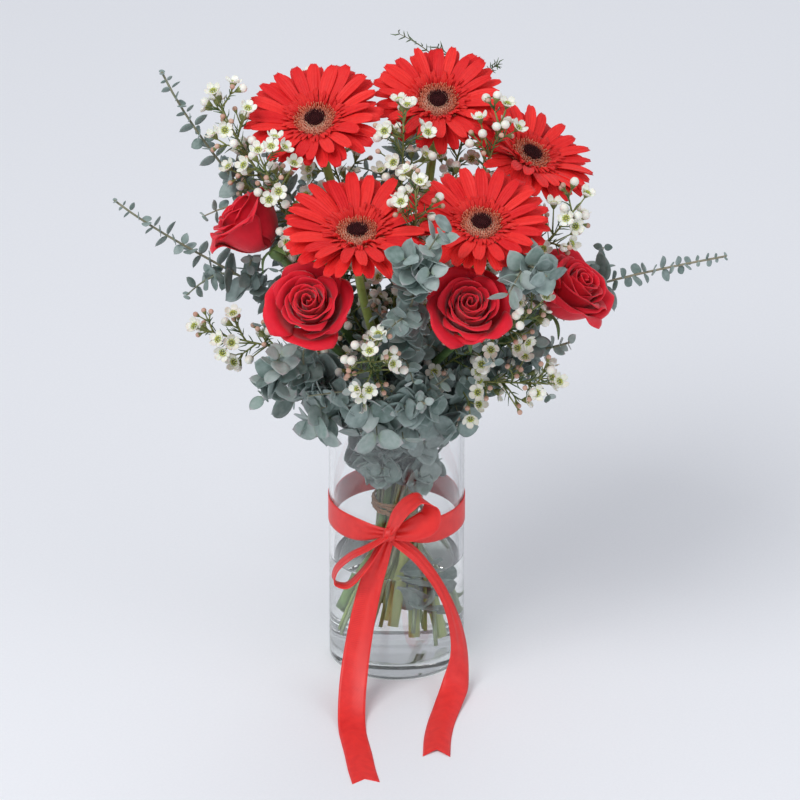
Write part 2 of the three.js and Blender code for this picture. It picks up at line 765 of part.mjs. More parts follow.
/**
 * All the rays of a head in one body: in each layer, neighbours share the corner between their
 * roots, and bands of triangles join the root corners of one layer to those of the next.
 */
function raysSolid(place, layers) {
  const points = [new THREE.Vector3(0, 0, layers[0].height - BLADE_THICKNESS / 2)];
  const triangles = [];
  const perFace = RAYS_ROUND * 5;
  layers.forEach((layer, level) => {
    const under = points.length;
    for (const half of [-BLADE_THICKNESS / 2, BLADE_THICKNESS / 2]) {
      for (const ray of layer.rays) {
        for (const corner of rayCorners(layer, ray)) {
          points.push(corner.at.clone().addScaledVector(corner.up, half));
        }
      }
    }
    for (let i = 0; i < RAYS_ROUND; i += 1) {
      const a = under + perFace + i * 5;
      const next = under + perFace + ((i + 1) % RAYS_ROUND) * 5;
      for (const [p, q, r] of [[a, a + 1, a + 2], [a, a + 2, next],
        [a + 1, a + 3, a + 4], [a + 1, a + 4, a + 2]]) {
        triangles.push(p, q, r, p - perFace, r - perFace, q - perFace);
      }
      for (const [p, q] of [[a, a + 1], [a + 1, a + 3], [a + 3, a + 4], [a + 4, a + 2],
        [a + 2, next]]) {
        triangles.push(q, p, p - perFace, q, p - perFace, q - perFace);
      }
      if (level === 0) {
        triangles.push(0, next - perFace, a - perFace);
      } else {
        const below = a - 2 * perFace;
        const belowNext = next - 2 * perFace;
        triangles.push(below, belowNext, a - perFace, belowNext, next - perFace, a - perFace);
      }
    }
  });
  const top = points.length;
  const last = layers[layers.length - 1];
  points.push(new THREE.Vector3(0, 0, last.height + BLADE_THICKNESS / 2));
  for (let i = 0; i < RAYS_ROUND; i += 1) {
    triangles.push(top - perFace + i * 5, top - perFace + ((i + 1) % RAYS_ROUND) * 5, top);
  }
  return solidFrom(points.flatMap((point) => point.applyMatrix4(place).toArray()), triangles);
}

/** The red rays of one gerbera, in layers: each ray is bent clear of what is already there. */
function growRays(piece, place, radius, draw) {
  const layers = RAY_LAYERS.map((layer) => {
    const rays = [];
    for (let index = 0; index < RAYS_ROUND; index += 1) {
      const angle = (2 * Math.PI * (index + layer.shift)) / RAYS_ROUND + (draw() - 0.5) * 0.05;
      const reach = (radius - RAY_ROOT) * layer.length * (0.95 + 0.08 * draw());
      const ray = { index, angle, reach, tilt: (draw() - 0.5) * 0.08 };
      const spot = place.clone().multiply(new THREE.Matrix4().makeRotationZ(angle));
      const fitted = (choice, grow) => blade(spot, rayStations(layer, ray, choice), grow);
      const chosen = addFirstClear(piece, rayChoices(), fitted) ?? { bend: 0, length: 0.3 };
      ray.stations = rayStations(layer, ray, chosen);
      rays.push(ray);
    }
    return { ...layer, rays };
  });
  piece.parts = [];
  piece.add(raysSolid(place, layers));
}

function growGerberas(stems) {
  const draw = seededDraw(7);
  const heads = GERBERAS.map((head, i) => {
    const stem = stems.find((each) => each.kind === "gerbera" && each.i === i);
    const place = headPlacement(vector(head.face), stem.heading, draw() * 0.4);
    stem.piece.add(bractCup(place));
    newPiece(`gerbera_${i + 1}_florets`, FINISHES.gerberaFlorets).add(floretSolid(place));
    newPiece(`gerbera_${i + 1}_eye`, FINISHES.gerberaEye).add(eyeSolid(place));
    return { place, radius: head.radius };
  });
  return () => {
    heads.forEach(({ place, radius }, i) => {
      const piece = newPiece(`gerbera_${i + 1}_rays`, FINISHES.gerberaRays, 0);
      growRays(piece, place, radius, draw);
    });
  };
}

// ---- Roses -------------------------------------------------------------------------------------

const PETAL_LAYERS = [
  { count: 3, wide: 1, heights: [-12, 17], radii: [8, 12.5], drop: 3 },
  { count: 3, wide: 1.15, heights: [-15, 14], radii: [8.5, 19.5], drop: 4 },
  { count: 4, wide: 0.86, heights: [-22, -7, 9], radii: [6, 24.5, 30], drop: 7 },
];

/** A petal wrapped round the bloom, one edge tucked in and the other standing out. */
function petal(place, layer, angle, lift, grow = 0) {
  const last = layer.radii.length - 1;
  const rows = layer.radii.map((radius, i) => [1, 0, -1].map((side) => {
    const isRoot = i === 0;
    const isRim = i === last;
    const turn = angle + side * layer.wide * (isRoot ? 0.5 : 1) * (isRim ? 0.75 : 1);
    const out = radius + (isRoot ? 0 : side * 1.7);
    const drop = isRim ? Math.abs(side) * layer.drop : 0;
    const height = layer.heights[i] - drop + (isRoot ? 0 : lift);
    const at = new THREE.Vector3(out * Math.cos(turn), out * Math.sin(turn), height);
    const up = new THREE.Vector3(-Math.cos(turn), -Math.sin(turn), isRim ? 0.3 : 0.1);
    return { at: at.applyMatrix4(place), up: up.normalize().transformDirection(place) };
  }));
  return sheet(rows, BLADE_THICKNESS + 2 * grow);
}

/** The green hip under a bloom, with its five pointed sepals. */
function growSepals(piece, place) {
  piece.add(spokedSolid(place, 10, (spoke) => {
    const isSepal = spoke % 2 === 0;
    return [[4, -36], [5.8, -31], [isSepal ? 20 : 6, isSepal ? -33 : -29], [4.5, -25.7]];
  }, -37, -25.3));
}

function growRoses(stems) {
  const draw = seededDraw(19);
  ROSES.forEach((head, i) => {
    const stem = stems.find((each) => each.kind === "rose" && each.i === i);
    const place = headPlacement(vector(head.face), stem.heading, draw() * 6);
    growSepals(stem.piece, place);
    const bloom = newPiece(`rose_${i + 1}_bloom`, FINISHES.roseBloom);
    bloom.add(turned([
      [0, -25], [8, -22], [9.5, -12], [9, 12], [5, 15.5], [0, 10],
    ], 6, place));
    for (const layer of PETAL_LAYERS) {
      for (let k = 0; k < layer.count; k += 1) {
        const angle = (2 * Math.PI * (k + draw() * 0.1)) / layer.count + layer.wide;
        const choices = [0, -1.5, 1.5, -3, -5, -8];
        addFirstClear(bloom, choices, (lift, grow) => petal(place, layer, angle, lift, grow));
      }
    }
  });
}

// ---- Eucalyptus --------------------------------------------------------------------------------

/** The place and direction of a stem, some way back along it from its end. */
function stationAt(stem, back) {
  let left = back;
  for (let i = stem.points.length - 1; i > 0; i -= 1) {
    const along = stem.points[i].clone().sub(stem.points[i - 1]);
    const length = along.length();
    if (left <= length || i === 1) {
      along.normalize();
      return { at: stem.points[i].clone().addScaledVector(along, -left), along };
    }
    left -= length;
  }
  return null;
}

/** A direction square to a stem, turned about it. */
function sideOf(along, angle) {
  const level = new THREE.Vector3(-along.y, along.x, 0.001).normalize();
  const steep = along.clone().cross(level);
  return level.multiplyScalar(Math.cos(angle)).addScaledVector(steep, Math.sin(angle));
}

function leafSolid({ at, along }, angle, tilt, length, grow) {
  const side = sideOf(along, angle);
  const out = side.multiplyScalar(Math.cos(tilt)).addScaledVector(along, Math.sin(tilt));
  const place = placement(at, out, along);
  return blade(place, [
    { out: 0.5, up: 0, half: 0 },
    { out: length * 0.5, up: 0.5, half: length * 0.45 },
    { out: length, up: -0.5, half: length * 0.24 },
  ], grow);
}

const LEAF_PITCH = 26;
const LEAFY_LENGTH = 86;
const FAR_SPRAYS = 3;
const FAR_LEAF_SHARE = 0.66;

function growEucalyptus(stems) {
  const draw = seededDraw(101);
  for (const stem of stems.filter((each) => each.kind === "eucalyptus")) {
    const leafyLength = EUCALYPTUS[stem.i].leafy ?? LEAFY_LENGTH;
    const isFar = stem.i < FAR_SPRAYS;
    let back = 1;
    let pair = 0;
    while (back < leafyLength) {
      const station = stationAt(stem, back);
      const share = isFar ? FAR_LEAF_SHARE : 1;
      const size = share * Math.min(1, 0.36 + back / 110) * (0.88 + 0.24 * draw());
      const first = (pair % 2) * (Math.PI / 2) + draw() * 0.4;
      for (const side of [0, Math.PI]) {
        const choices = [];
        for (const shrink of [1, 0.85, 0.7]) {
          for (const turn of [0, 0.35, -0.35, 0.8, -0.8]) {
            for (const tilt of isFar ? [0.15, 0.5] : [0.45, 0.8, 0.1, 1.05]) {
              choices.push({ turn, tilt, length: LEAF_LENGTH * size * shrink });
            }
          }
        }
        addFirstClear(stem.piece, choices, ({ turn, tilt, length }, grow) => (
          leafSolid(station, first + side + turn, tilt, length, grow)
        ));
      }
      back += LEAF_PITCH * (0.5 + 0.5 * Math.min(1, back / 80));
      pair += 1;
    }
  }
}

// ---- Waxflower ---------------------------------------------------------------------------------

/** A five-petalled flower on its conical cup, at the end of its stalk. */
function flowerSolid(root, centre, axis, grow) {
  const place = headPlacement(centre, axis, 0);
  const star = spokedSolid(place, 10, (spoke) => (
    [[FLOWER_RADIUS * (spoke % 2 === 0 ? 1 : 0.56) + grow, 0.3]]
  ), -3.6 - grow, grow - 0.5);
  const neck = centre.clone().addScaledVector(axis, -1.5);
  return fused([star, stalk(root, neck, 0.7 + grow, 0.7 + grow)]);
}

/** A round bud at the end of its stalk. */
function budSolid(root, centre, radius, grow) {
  const ball = new THREE.OctahedronGeometry(radius + grow, 0);
  ball.translate(centre.x, centre.y, centre.z);
  return fused([solidOf(ball), stalk(root, centre, 0.6 + grow, 0.5 + grow, 3)]);
}

const SPRAY_ENDS = ["flower", "bud", "needle", "flower", "small", "bud"];
const END_PITCH = 9;
const GOLDEN_ANGLE = 2.39996;

function growWaxflowers(stems) {
  const draw = seededDraw(211);
  for (const stem of stems.filter((each) => each.kind === "waxflower")) {
    SPRAY_ENDS.forEach((end, k) => {
      const back = 1 + k * END_PITCH;
      const station = stationAt(stem, back);
      const reach = (end === "needle" ? 13 : 15 + 0.35 * back) * (0.85 + 0.3 * draw());
      const base = GOLDEN_ANGLE * k + draw();
      const choices = [];
      for (const shrink of [1, 0.75, 0.55]) {
        for (const turn of [0, 0.6, -0.6, 1.2, -1.2, 2.2]) {
          for (const tilt of [k === 0 ? 1.4 : 0.75, 0.4, 1.15]) {
            choices.push({ angle: base + turn, tilt, reach: reach * shrink });
          }
        }
      }
      addFirstClear(stem.piece, choices, (choice, grow) => {
        const side = sideOf(station.along, choice.angle);
        const out = side.multiplyScalar(Math.cos(choice.tilt))
          .addScaledVector(station.along, Math.sin(choice.tilt));
        const tip = station.at.clone().addScaledVector(out, choice.reach);
        if (end === "flower") {
          const axis = out.clone().add(new THREE.Vector3(0, -0.35, 0.5)).normalize();
          return flowerSolid(station.at, tip, axis, grow);
        }
        if (end === "needle") {
          return stalk(station.at, tip, 0.75 + grow, 0.3 + grow, 3);
        }
        return budSolid(station.at, tip, end === "bud" ? BUD_RADIUS : SMALL_BUD_RADIUS, grow);
      });
    });
  }
}

// ---- The arrangement -----------------------------------------------------------------------------

const stems = listStems();
packAtTie(stems);

newPiece("vase", FINISHES.glass).add(vaseSolid());
newPiece("twine", FINISHES.twine).add(twineSolid(stems));
newPiece("ribbon", FINISHES.ribbon).add(ribbonSolid());
const wet = growStems(stems);
newPiece("water", FINISHES.water).add(waterSolid(wet));
const growAllRays = growGerberas(stems);
growRoses(stems);
growAllRays();
growEucalyptus(stems);
growWaxflowers(stems);

const arrangement = new THREE.Group();
for (const piece of pieces) {
  const mesh = fused(piece.parts.map((part) => part.solid)).getMesh();
  const geometry = new THREE.BufferGeometry();
  geometry.setAttribute("position", new THREE.BufferAttribute(mesh.vertProperties, 3));
  geometry.setIndex(new THREE.BufferAttribute(mesh.triVerts, 1));
  geometry.computeVertexNormals();
  const material = new THREE.MeshStandardMaterial({ ...piece.finish, metalness: 0 });
  const node = new THREE.Mesh(geometry, material);
  node.name = piece.name;
  arrangement.add(node);
}

export default arrangement;
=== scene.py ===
"""Gerberas, roses, eucalyptus and waxflower, tied with twine, in a glass vase with a ribbon.

Shapes are laid out in millimetres, +Z up and the front at -Y, and made in metres.
"""

import logging
from dataclasses import dataclass, field
from enum import Enum, IntEnum
from math import atan2, cos, dist, exp, hypot, inf, pi, radians, sin, sqrt
from typing import Callable, Iterable, Iterator, Sequence, TypeVar

import bmesh
import bpy
from mathutils import Matrix, Vector
from mathutils.bvhtree import BVHTree
from mathutils.kdtree import KDTree


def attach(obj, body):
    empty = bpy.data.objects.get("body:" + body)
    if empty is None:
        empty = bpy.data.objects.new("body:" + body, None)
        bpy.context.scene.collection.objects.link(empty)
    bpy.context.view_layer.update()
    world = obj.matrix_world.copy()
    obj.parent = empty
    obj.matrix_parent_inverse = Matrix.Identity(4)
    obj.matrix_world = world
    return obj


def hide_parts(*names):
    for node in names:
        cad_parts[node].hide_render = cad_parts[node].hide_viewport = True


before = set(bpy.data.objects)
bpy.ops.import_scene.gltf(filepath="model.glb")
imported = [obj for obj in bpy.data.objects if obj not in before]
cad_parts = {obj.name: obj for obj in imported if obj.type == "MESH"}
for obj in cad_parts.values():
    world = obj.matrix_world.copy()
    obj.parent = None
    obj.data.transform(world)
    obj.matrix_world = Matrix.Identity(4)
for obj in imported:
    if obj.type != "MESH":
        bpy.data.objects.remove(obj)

LOG = logging.getLogger("arrangement")
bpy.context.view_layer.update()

Pair = tuple[float, float]
Spot = tuple[float, float, float]
Form = Callable[[float, float], Vector]
Material = bpy.types.Material
Laid = TypeVar("Laid", "Leaf", "Ray", "Stalk")

MM = 0.001
FULL_TURN = 2 * pi
GOLDEN_ANGLE = 2.39996
FOUND_WITHIN = 0.05


# ---- Sizes that the frame's solids have ----

VASE_RADIUS = 50.0
VASE_HEIGHT = 200.0
GLASS_WALL = 3.5
GLASS_FLOOR = 11.0
WATER_LEVEL = 82.0
TIE_HEIGHT = 125.0
TIE_SPIRAL = 0.0135
FOOT_SPIRAL = 0.025
TIE_LEAD_ANGLE = 1.13
TIE_SPACING = 0.7
TIE_SCALE = 20.0
PACKING_ROUNDS = 600
PACKING_PASSES = 4
PACKING_PULL = 0.992
FOOT_LOWEST = 17.0
FOOT_SPREAD = 22.0
STEM_STEPS = 5
RISE_HANDLE = 0.3
HEADING_HANDLE = 0.35
GERBERA_DEPTH = 21.0
ROSE_DEPTH = 33.0
SOLID_BLADE = 0.8


class Kind(Enum):
    """The four plants of the arrangement, and the thickness of their stems' radius."""

    GERBERA = 3.6
    ROSE = 3.0
    EUCALYPTUS = 1.5
    WAXFLOWER = 1.3


@dataclass(frozen=True)
class Head:
    """A flower's head: the middle of its face, its lean off level and its radius."""

    face: Spot
    lean: Pair
    radius: float = 31.0


@dataclass(frozen=True)
class Spray:
    """A spray's tip, the heading that its stem has there and how far down it is leafy."""

    tip: Spot
    heading: Spot
    leafy: float = 86.0


GERBERAS = (
    Head((-59, 10, 428), (-0.15, -0.46), 53),
    Head((30, 42, 429), (0.05, -0.55), 50),
    Head((98, 20, 396), (0.5, -0.25), 51),
    Head((-28, -75, 378), (0, -0.3), 57),
    Head((61, -65, 380), (0.05, -0.42), 51),
)
ROSES = (
    Head((-108, -28, 363), (-1, 0.3)),
    Head((-62, -105, 332), (-0.15, -0.95)),
    Head((52, -105, 330), (0.1, -0.9)),
    Head((127, -50, 319), (0.8, -0.35)),
)
EUCALYPTUS = (
    Spray((-205, 10, 363), (-0.75, 0, 0.65)),
    Spray((-170, 30, 456), (-0.4, 0.05, 0.9)),
    Spray((240, 0, 323), (0.97, 0, 0.2)),
    Spray((14, -122, 366), (0.1, -0.3, 0.95)),
    Spray((92, -92, 360), (0.3, -0.3, 0.9)),
    Spray((-88, -72, 262), (-0.7, -0.6, 0.3)),
    Spray((-32, -98, 262), (-0.2, -0.9, 0.4), 130),
    Spray((20, -95, 250), (0.2, -0.9, 0.3), 120),
    Spray((125, -56, 280), (0.85, -0.36, 0.45)),
    Spray((-95, 70, 372), (-0.5, 0.4, 0.75)),
    Spray((95, 85, 372), (0.5, 0.4, 0.75)),
    Spray((0, 125, 380), (0, 0.5, 0.85)),
)
WAXFLOWERS = (
    Spray((-128, 8, 440), (-0.4, 0, 0.9)),
    Spray((-96, -42, 416), (-0.3, -0.2, 0.9)),
    Spray((5, -12, 434), (0, -0.1, 1)),
    Spray((14, -84, 408), (0, -0.2, 1)),
    Spray((75, -10, 434), (0.2, -0.1, 1)),
    Spray((128, -44, 380), (0.5, -0.2, 0.85)),
    Spray((-135, -38, 280), (-0.9, -0.2, 0.4)),
    Spray((-20, -122, 300), (-0.05, -0.7, 0.7)),
    Spray((98, -96, 326), (0.4, -0.5, 0.8)),
    Spray((104, -82, 260), (0.75, -0.6, 0.3)),
    Spray((-60, 95, 412), (-0.2, 0.3, 0.95)),
    Spray((55, 100, 405), (0.2, 0.3, 0.95)),
)


# ---- Small helpers ----


class Draw:
    """A repeatable draw of numbers from 0 to 1."""

    def __init__(self, seed: int) -> None:
        """Starts the draw from a number."""
        self.state = seed

    def __call__(self) -> float:
        """Returns the next number from 0 to 1."""
        self.state = self.state * 16807 % 2147483647
        return self.state / 2147483647

    def between(self, low: float, high: float) -> float:
        """Returns the next number, spread from low to high."""
        return low + (high - low) * self()


def basis(origin: Vector, x: Vector, y: Vector, z: Vector) -> Matrix:
    """Returns the matrix whose columns are three directions and a place."""
    turn = Matrix((x, y, z)).transposed().to_4x4()
    return Matrix.Translation(origin) @ turn


def placement(origin: Vector, out: Vector, up: Vector) -> Matrix:
    """Returns the turn and place that carry X along `out` and Z as near to `up` as can be."""
    x = out.normalized()
    y = up.cross(x).normalized()
    return basis(origin, x, y, x.cross(y))


def head_placement(origin: Vector, axis: Vector, roll: float) -> Matrix:
    """Returns the turn and place that carry Z along an axis, rolled about it."""
    x = (Vector((1, 0, 0)) - axis * axis.x).normalized()
    return basis(origin, x, axis.cross(x), axis) @ Matrix.Rotation(roll, 4, "Z")


def side_of(along: Vector, angle: float) -> Vector:
    """Returns a direction square to a stem, turned about it by an angle."""
    level = Vector((-along.y, along.x, 0.001)).normalized()
    return level * cos(angle) + along.cross(level) * sin(angle)


def around(angle: float, radius: float = 1.0, height: float = 0.0) -> Vector:
    """Returns the point at an angle and a radius round the Z axis, at a height."""
    return Vector((radius * cos(angle), radius * sin(angle), height))


def leaning(along: Vector, angle: float, tilt: float) -> Vector:
    """Returns the direction at an angle about a stem, tilted up along it."""
    return side_of(along, angle) * cos(tilt) + along * sin(tilt)


def lean_axis(head: Head) -> Vector:
    """Returns the direction that a head faces."""
    return Vector((head.lean[0], head.lean[1], 1)).normalized()


def through(a: Vector, b: Vector, c: Vector, s: float, middle: float = 0.55) -> Vector:
    """Finds a point of the smooth curve through three points.

    Args:
        a: the point at 0.
        b: the point at the middle's share.
        c: the point at 1.
        s: the share of the way.
        middle: the share at which b is passed.

    Returns:
        The point.
    """
    wa = (s - middle) * (s - 1) / middle
    wb = s * (s - 1) / (middle * (middle - 1))
    wc = s * (s - middle) / (1 - middle)
    return a * wa + b * wb + c * wc


def smooth_step(s: float) -> float:
    """Returns a share from 0 to 1, eased at both ends."""
    s = min(max(s, 0.0), 1.0)
    return s * s * (3 - 2 * s)


# ---- Stems ----


@dataclass
class Stem:
    """A stem: straight through the tie up to the rim, then curving to its end."""

    kind: Kind
    index: int
    end: Vector
    heading: Vector
    tie: complex = 0j
    foot: float = 0.0
    points: list[Vector] = field(default_factory=list)

    @property
    def name(self) -> str:
        """The name of the frame's node that holds the stem."""
        if self.kind in (Kind.GERBERA, Kind.ROSE):
            return f"{self.kind.name.lower()}_{self.index + 1}_stem"
        return f"{self.kind.name.lower()}_{self.index + 1:02d}"

    @property
    def radius(self) -> float:
        """The stem's radius."""
        return self.kind.value

    def bundle_point(self, height: float) -> Vector:
        """Returns where the stem is at a height inside the vase."""
        spiral = TIE_SPIRAL if height > TIE_HEIGHT else FOOT_SPIRAL
        lean = spiral * (height - TIE_HEIGHT)
        x, y = self.tie.real, self.tie.imag
        return Vector((x - lean * y, y + lean * x, height))

    def curve(self, steps: int) -> list[Vector]:
        """Returns the points of the curved part, from the rim to the end, in some steps."""
        rim = self.bundle_point(VASE_HEIGHT)
        rise = (rim - self.bundle_point(TIE_HEIGHT)).normalized()
        reach = (rim - self.end).length
        a = rim + rise * reach * RISE_HANDLE
        b = self.end - self.heading * reach * HEADING_HANDLE
        points = []
        for i in range(steps + 1):
            t = i / steps
            u = 1 - t
            points.append(rim * u**3 + a * 3 * u * u * t + b * 3 * u * t * t + self.end * t**3)
        return points

    def station(self, back: float) -> tuple[Vector, Vector]:
        """Finds a place some way back along the stem from its end.

        Args:
            back: the way back.

        Returns:
            The place, and the stem's direction there.
        """
        left = back
        for i in range(len(self.points) - 1, 0, -1):
            along = self.points[i] - self.points[i - 1]
            length = along.length
            if left <= length or i == 1:
                along.normalize()
                return self.points[i] - along * left, along
            left -= length
        raise ValueError("a stem has two points or more")

    def points_along(self, straight: int = 16, curved: int = 18) -> list[Vector]:
        """Returns points along the whole stem, by the steps in its straight and curved parts."""
        rise = VASE_HEIGHT - self.foot
        rim = [self.bundle_point(self.foot + rise * k / straight) for k in range(straight)]
        return rim + self.curve(curved)


class Bundle:
    """All the stems, packed side by side where the twine holds them."""

    def __init__(self) -> None:
        """Lists the stems, packs them and gives each its points."""
        self.stems = [*self._flowers(Kind.GERBERA, GERBERAS, GERBERA_DEPTH),
                      *self._flowers(Kind.ROSE, ROSES, ROSE_DEPTH),
                      *self._sprays(Kind.EUCALYPTUS, EUCALYPTUS),
                      *self._sprays(Kind.WAXFLOWER, WAXFLOWERS)]
        self._pack()
        draw = Draw(41)
        for stem in self.stems:
            stem.foot = FOOT_LOWEST + FOOT_SPREAD * draw()
            stem.points = [stem.bundle_point(stem.foot), stem.bundle_point(TIE_HEIGHT),
                           *stem.curve(STEM_STEPS)]

    @staticmethod
    def _flowers(kind: Kind, heads: Sequence[Head], depth: float) -> Iterator[Stem]:
        """Yields the stems that end under flower heads, a depth below each face."""
        for i, head in enumerate(heads):
            axis = lean_axis(head)
            yield Stem(kind, i, Vector(head.face) - axis * depth, axis)

    @staticmethod
    def _sprays(kind: Kind, sprays: Sequence[Spray]) -> Iterator[Stem]:
        """Yields the stems of sprays."""
        for i, spray in enumerate(sprays):
            yield Stem(kind, i, Vector(spray.tip), Vector(spray.heading).normalized())

    def _pack(self) -> None:
        """Pulls the stems in and pushes them apart until they fit."""
        turn = complex(cos(-TIE_LEAD_ANGLE), sin(-TIE_LEAD_ANGLE))
        ends = self._exact_ends()
        ties = [complex(x / (z - TIE_HEIGHT) * TIE_SCALE, y / (z - TIE_HEIGHT) * TIE_SCALE) * turn
                for x, y, z in ends]
        radii = [stem.radius for stem in self.stems]
        count = len(ties)
        pairs = [(i, j, radii[i] + radii[j] + TIE_SPACING)
                 for i in range(count) for j in range(i + 1, count)]
        for _ in range(PACKING_ROUNDS):
            ties = [tie * PACKING_PULL for tie in ties]
            for _ in range(PACKING_PASSES):
                for i, j, spacing in pairs:
                    apart = ties[j] - ties[i]
                    distance = abs(apart)
                    if distance < spacing:
                        apart *= (spacing - distance) / 2 / distance
                        ties[j] += apart
                        ties[i] -= apart
        for stem, tie in zip(self.stems, ties):
            stem.tie = tie

    @staticmethod
    def _exact_ends() -> list[Spot]:
        """Returns where the stems end, to the last digit, which the packing depends on."""
        ends = []
        for heads, depth in ((GERBERAS, GERBERA_DEPTH), (ROSES, ROSE_DEPTH)):
            for head in heads:
                length = sqrt(head.lean[0] ** 2 + head.lean[1] ** 2 + 1)
                axis = (head.lean[0] / length, head.lean[1] / length, 1 / length)
                ends.append(tuple(head.face[k] - axis[k] * depth for k in range(3)))
        ends += [spray.tip for spray in EUCALYPTUS + WAXFLOWERS]
        return ends

    def of(self, kind: Kind) -> list[Stem]:
        """Returns the stems of one plant."""
        return [stem for stem in self.stems if stem.kind is kind]


class SolidShape:
    """The corners of one of the frame's nodes, to find how its small forms were laid."""

    def __init__(self, node: str, place: Matrix = Matrix()) -> None:
        """Reads the corners of a node.

        Args:
            node: the node's name.
            place: where the forms' own corners are measured from.
        """
        self.node = node
        self.place = place
        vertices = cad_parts[node].data.vertices
        self.tree = KDTree(len(vertices))
        for i, vertex in enumerate(vertices):
            self.tree.insert(vertex.co / MM, i)
        self.tree.balance()

    def holds(self, points: Iterable[Vector]) -> bool:
        """Returns whether the node has a corner at any of some points."""
        return any(self.tree.find(self.place @ point)[2] < FOUND_WITHIN for point in points)

    def first(self, tries: Iterable[Laid]) -> Laid | None:
        """Finds how a form was laid.

        Args:
            tries: the ways that it may have been laid.

        Returns:
            The first way of which the node has a corner, or None.
        """
        found = next((each for each in tries if self.holds(each.corners())), None)
        if found is None:
            LOG.info("%s: a place with nothing", self.node)
        return found


class Obstacles:
    """Surfaces and stems that added leaves and flowers keep out of."""

    def __init__(self, nodes: Sequence[str], stems: Sequence[Stem]) -> None:
        """Gathers the surfaces of some of the frame's nodes, by their names, and the stems."""
        corners: list[Vector] = []
        faces: list[list[int]] = []
        for node in nodes:
            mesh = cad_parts[node].data
            first = len(corners)
            corners += [vertex.co / MM for vertex in mesh.vertices]
            faces += [[first + k for k in face.vertices] for face in mesh.polygons]
        self.tree = BVHTree.FromPolygons(corners, faces)
        places = [(point, stem) for stem in stems
                  for point in stem.points_along(round((VASE_HEIGHT - stem.foot) / 3), 80)]
        self.near = KDTree(len(places))
        self.owners = [stem for _, stem in places]
        for i, (point, _) in enumerate(places):
            self.near.insert(point, i)
        self.near.balance()

    def crossed(self, start: Vector, end: Vector) -> bool:
        """Returns whether the way from one point to another meets a surface."""
        way = end - start
        return self.tree.ray_cast(start, way.normalized(), way.length)[0] is not None

    def crowded(self, point: Vector, room: float) -> bool:
        """Returns whether a surface lies nearer to a point than the room that it needs."""
        return self.tree.find_nearest(point, room)[0] is not None

    def touched(self, point: Vector, own: Stem) -> bool:
        """Returns whether a point is inside a stem other than its own."""
        return any(self.owners[i] is not own and distance < self.owners[i].radius + 0.3
                   for _, i, distance in self.near.find_range(point, 4.2))


# ---- Making meshes ----


def linked(name: str, data: bpy.types.ID) -> bpy.types.Object:
    """Returns a new object of some data, put in the scene."""
    made = bpy.data.objects.new(name, data)
    bpy.context.scene.collection.objects.link(made)
    return made


def dressed(name: str, mesh: bmesh.types.BMesh, finishes: Sequence[Material]) -> bpy.types.Object:
    """Makes an object of a mesh and frees the mesh.

    Args:
        name: the object's name.
        mesh: its mesh, in metres.
        finishes: the materials that it wears.

    Returns:
        The object, at the origin.
    """
    data = bpy.data.meshes.new(name)
    mesh.to_mesh(data)
    mesh.free()
    for finish in finishes:
        data.materials.append(finish)
    return linked(name, data)


def settle(piece: bpy.types.Object, node: str) -> bpy.types.Object:
    """Makes a piece ride on the body and stand for a node.

    Args:
        piece: the piece.
        node: the frame's node that it stands for.

    Returns:
        The piece.
    """
    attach(piece, "root")
    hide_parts(node)
    LOG.info("%s: %d faces", piece.name, len(piece.data.polygons))
    return piece


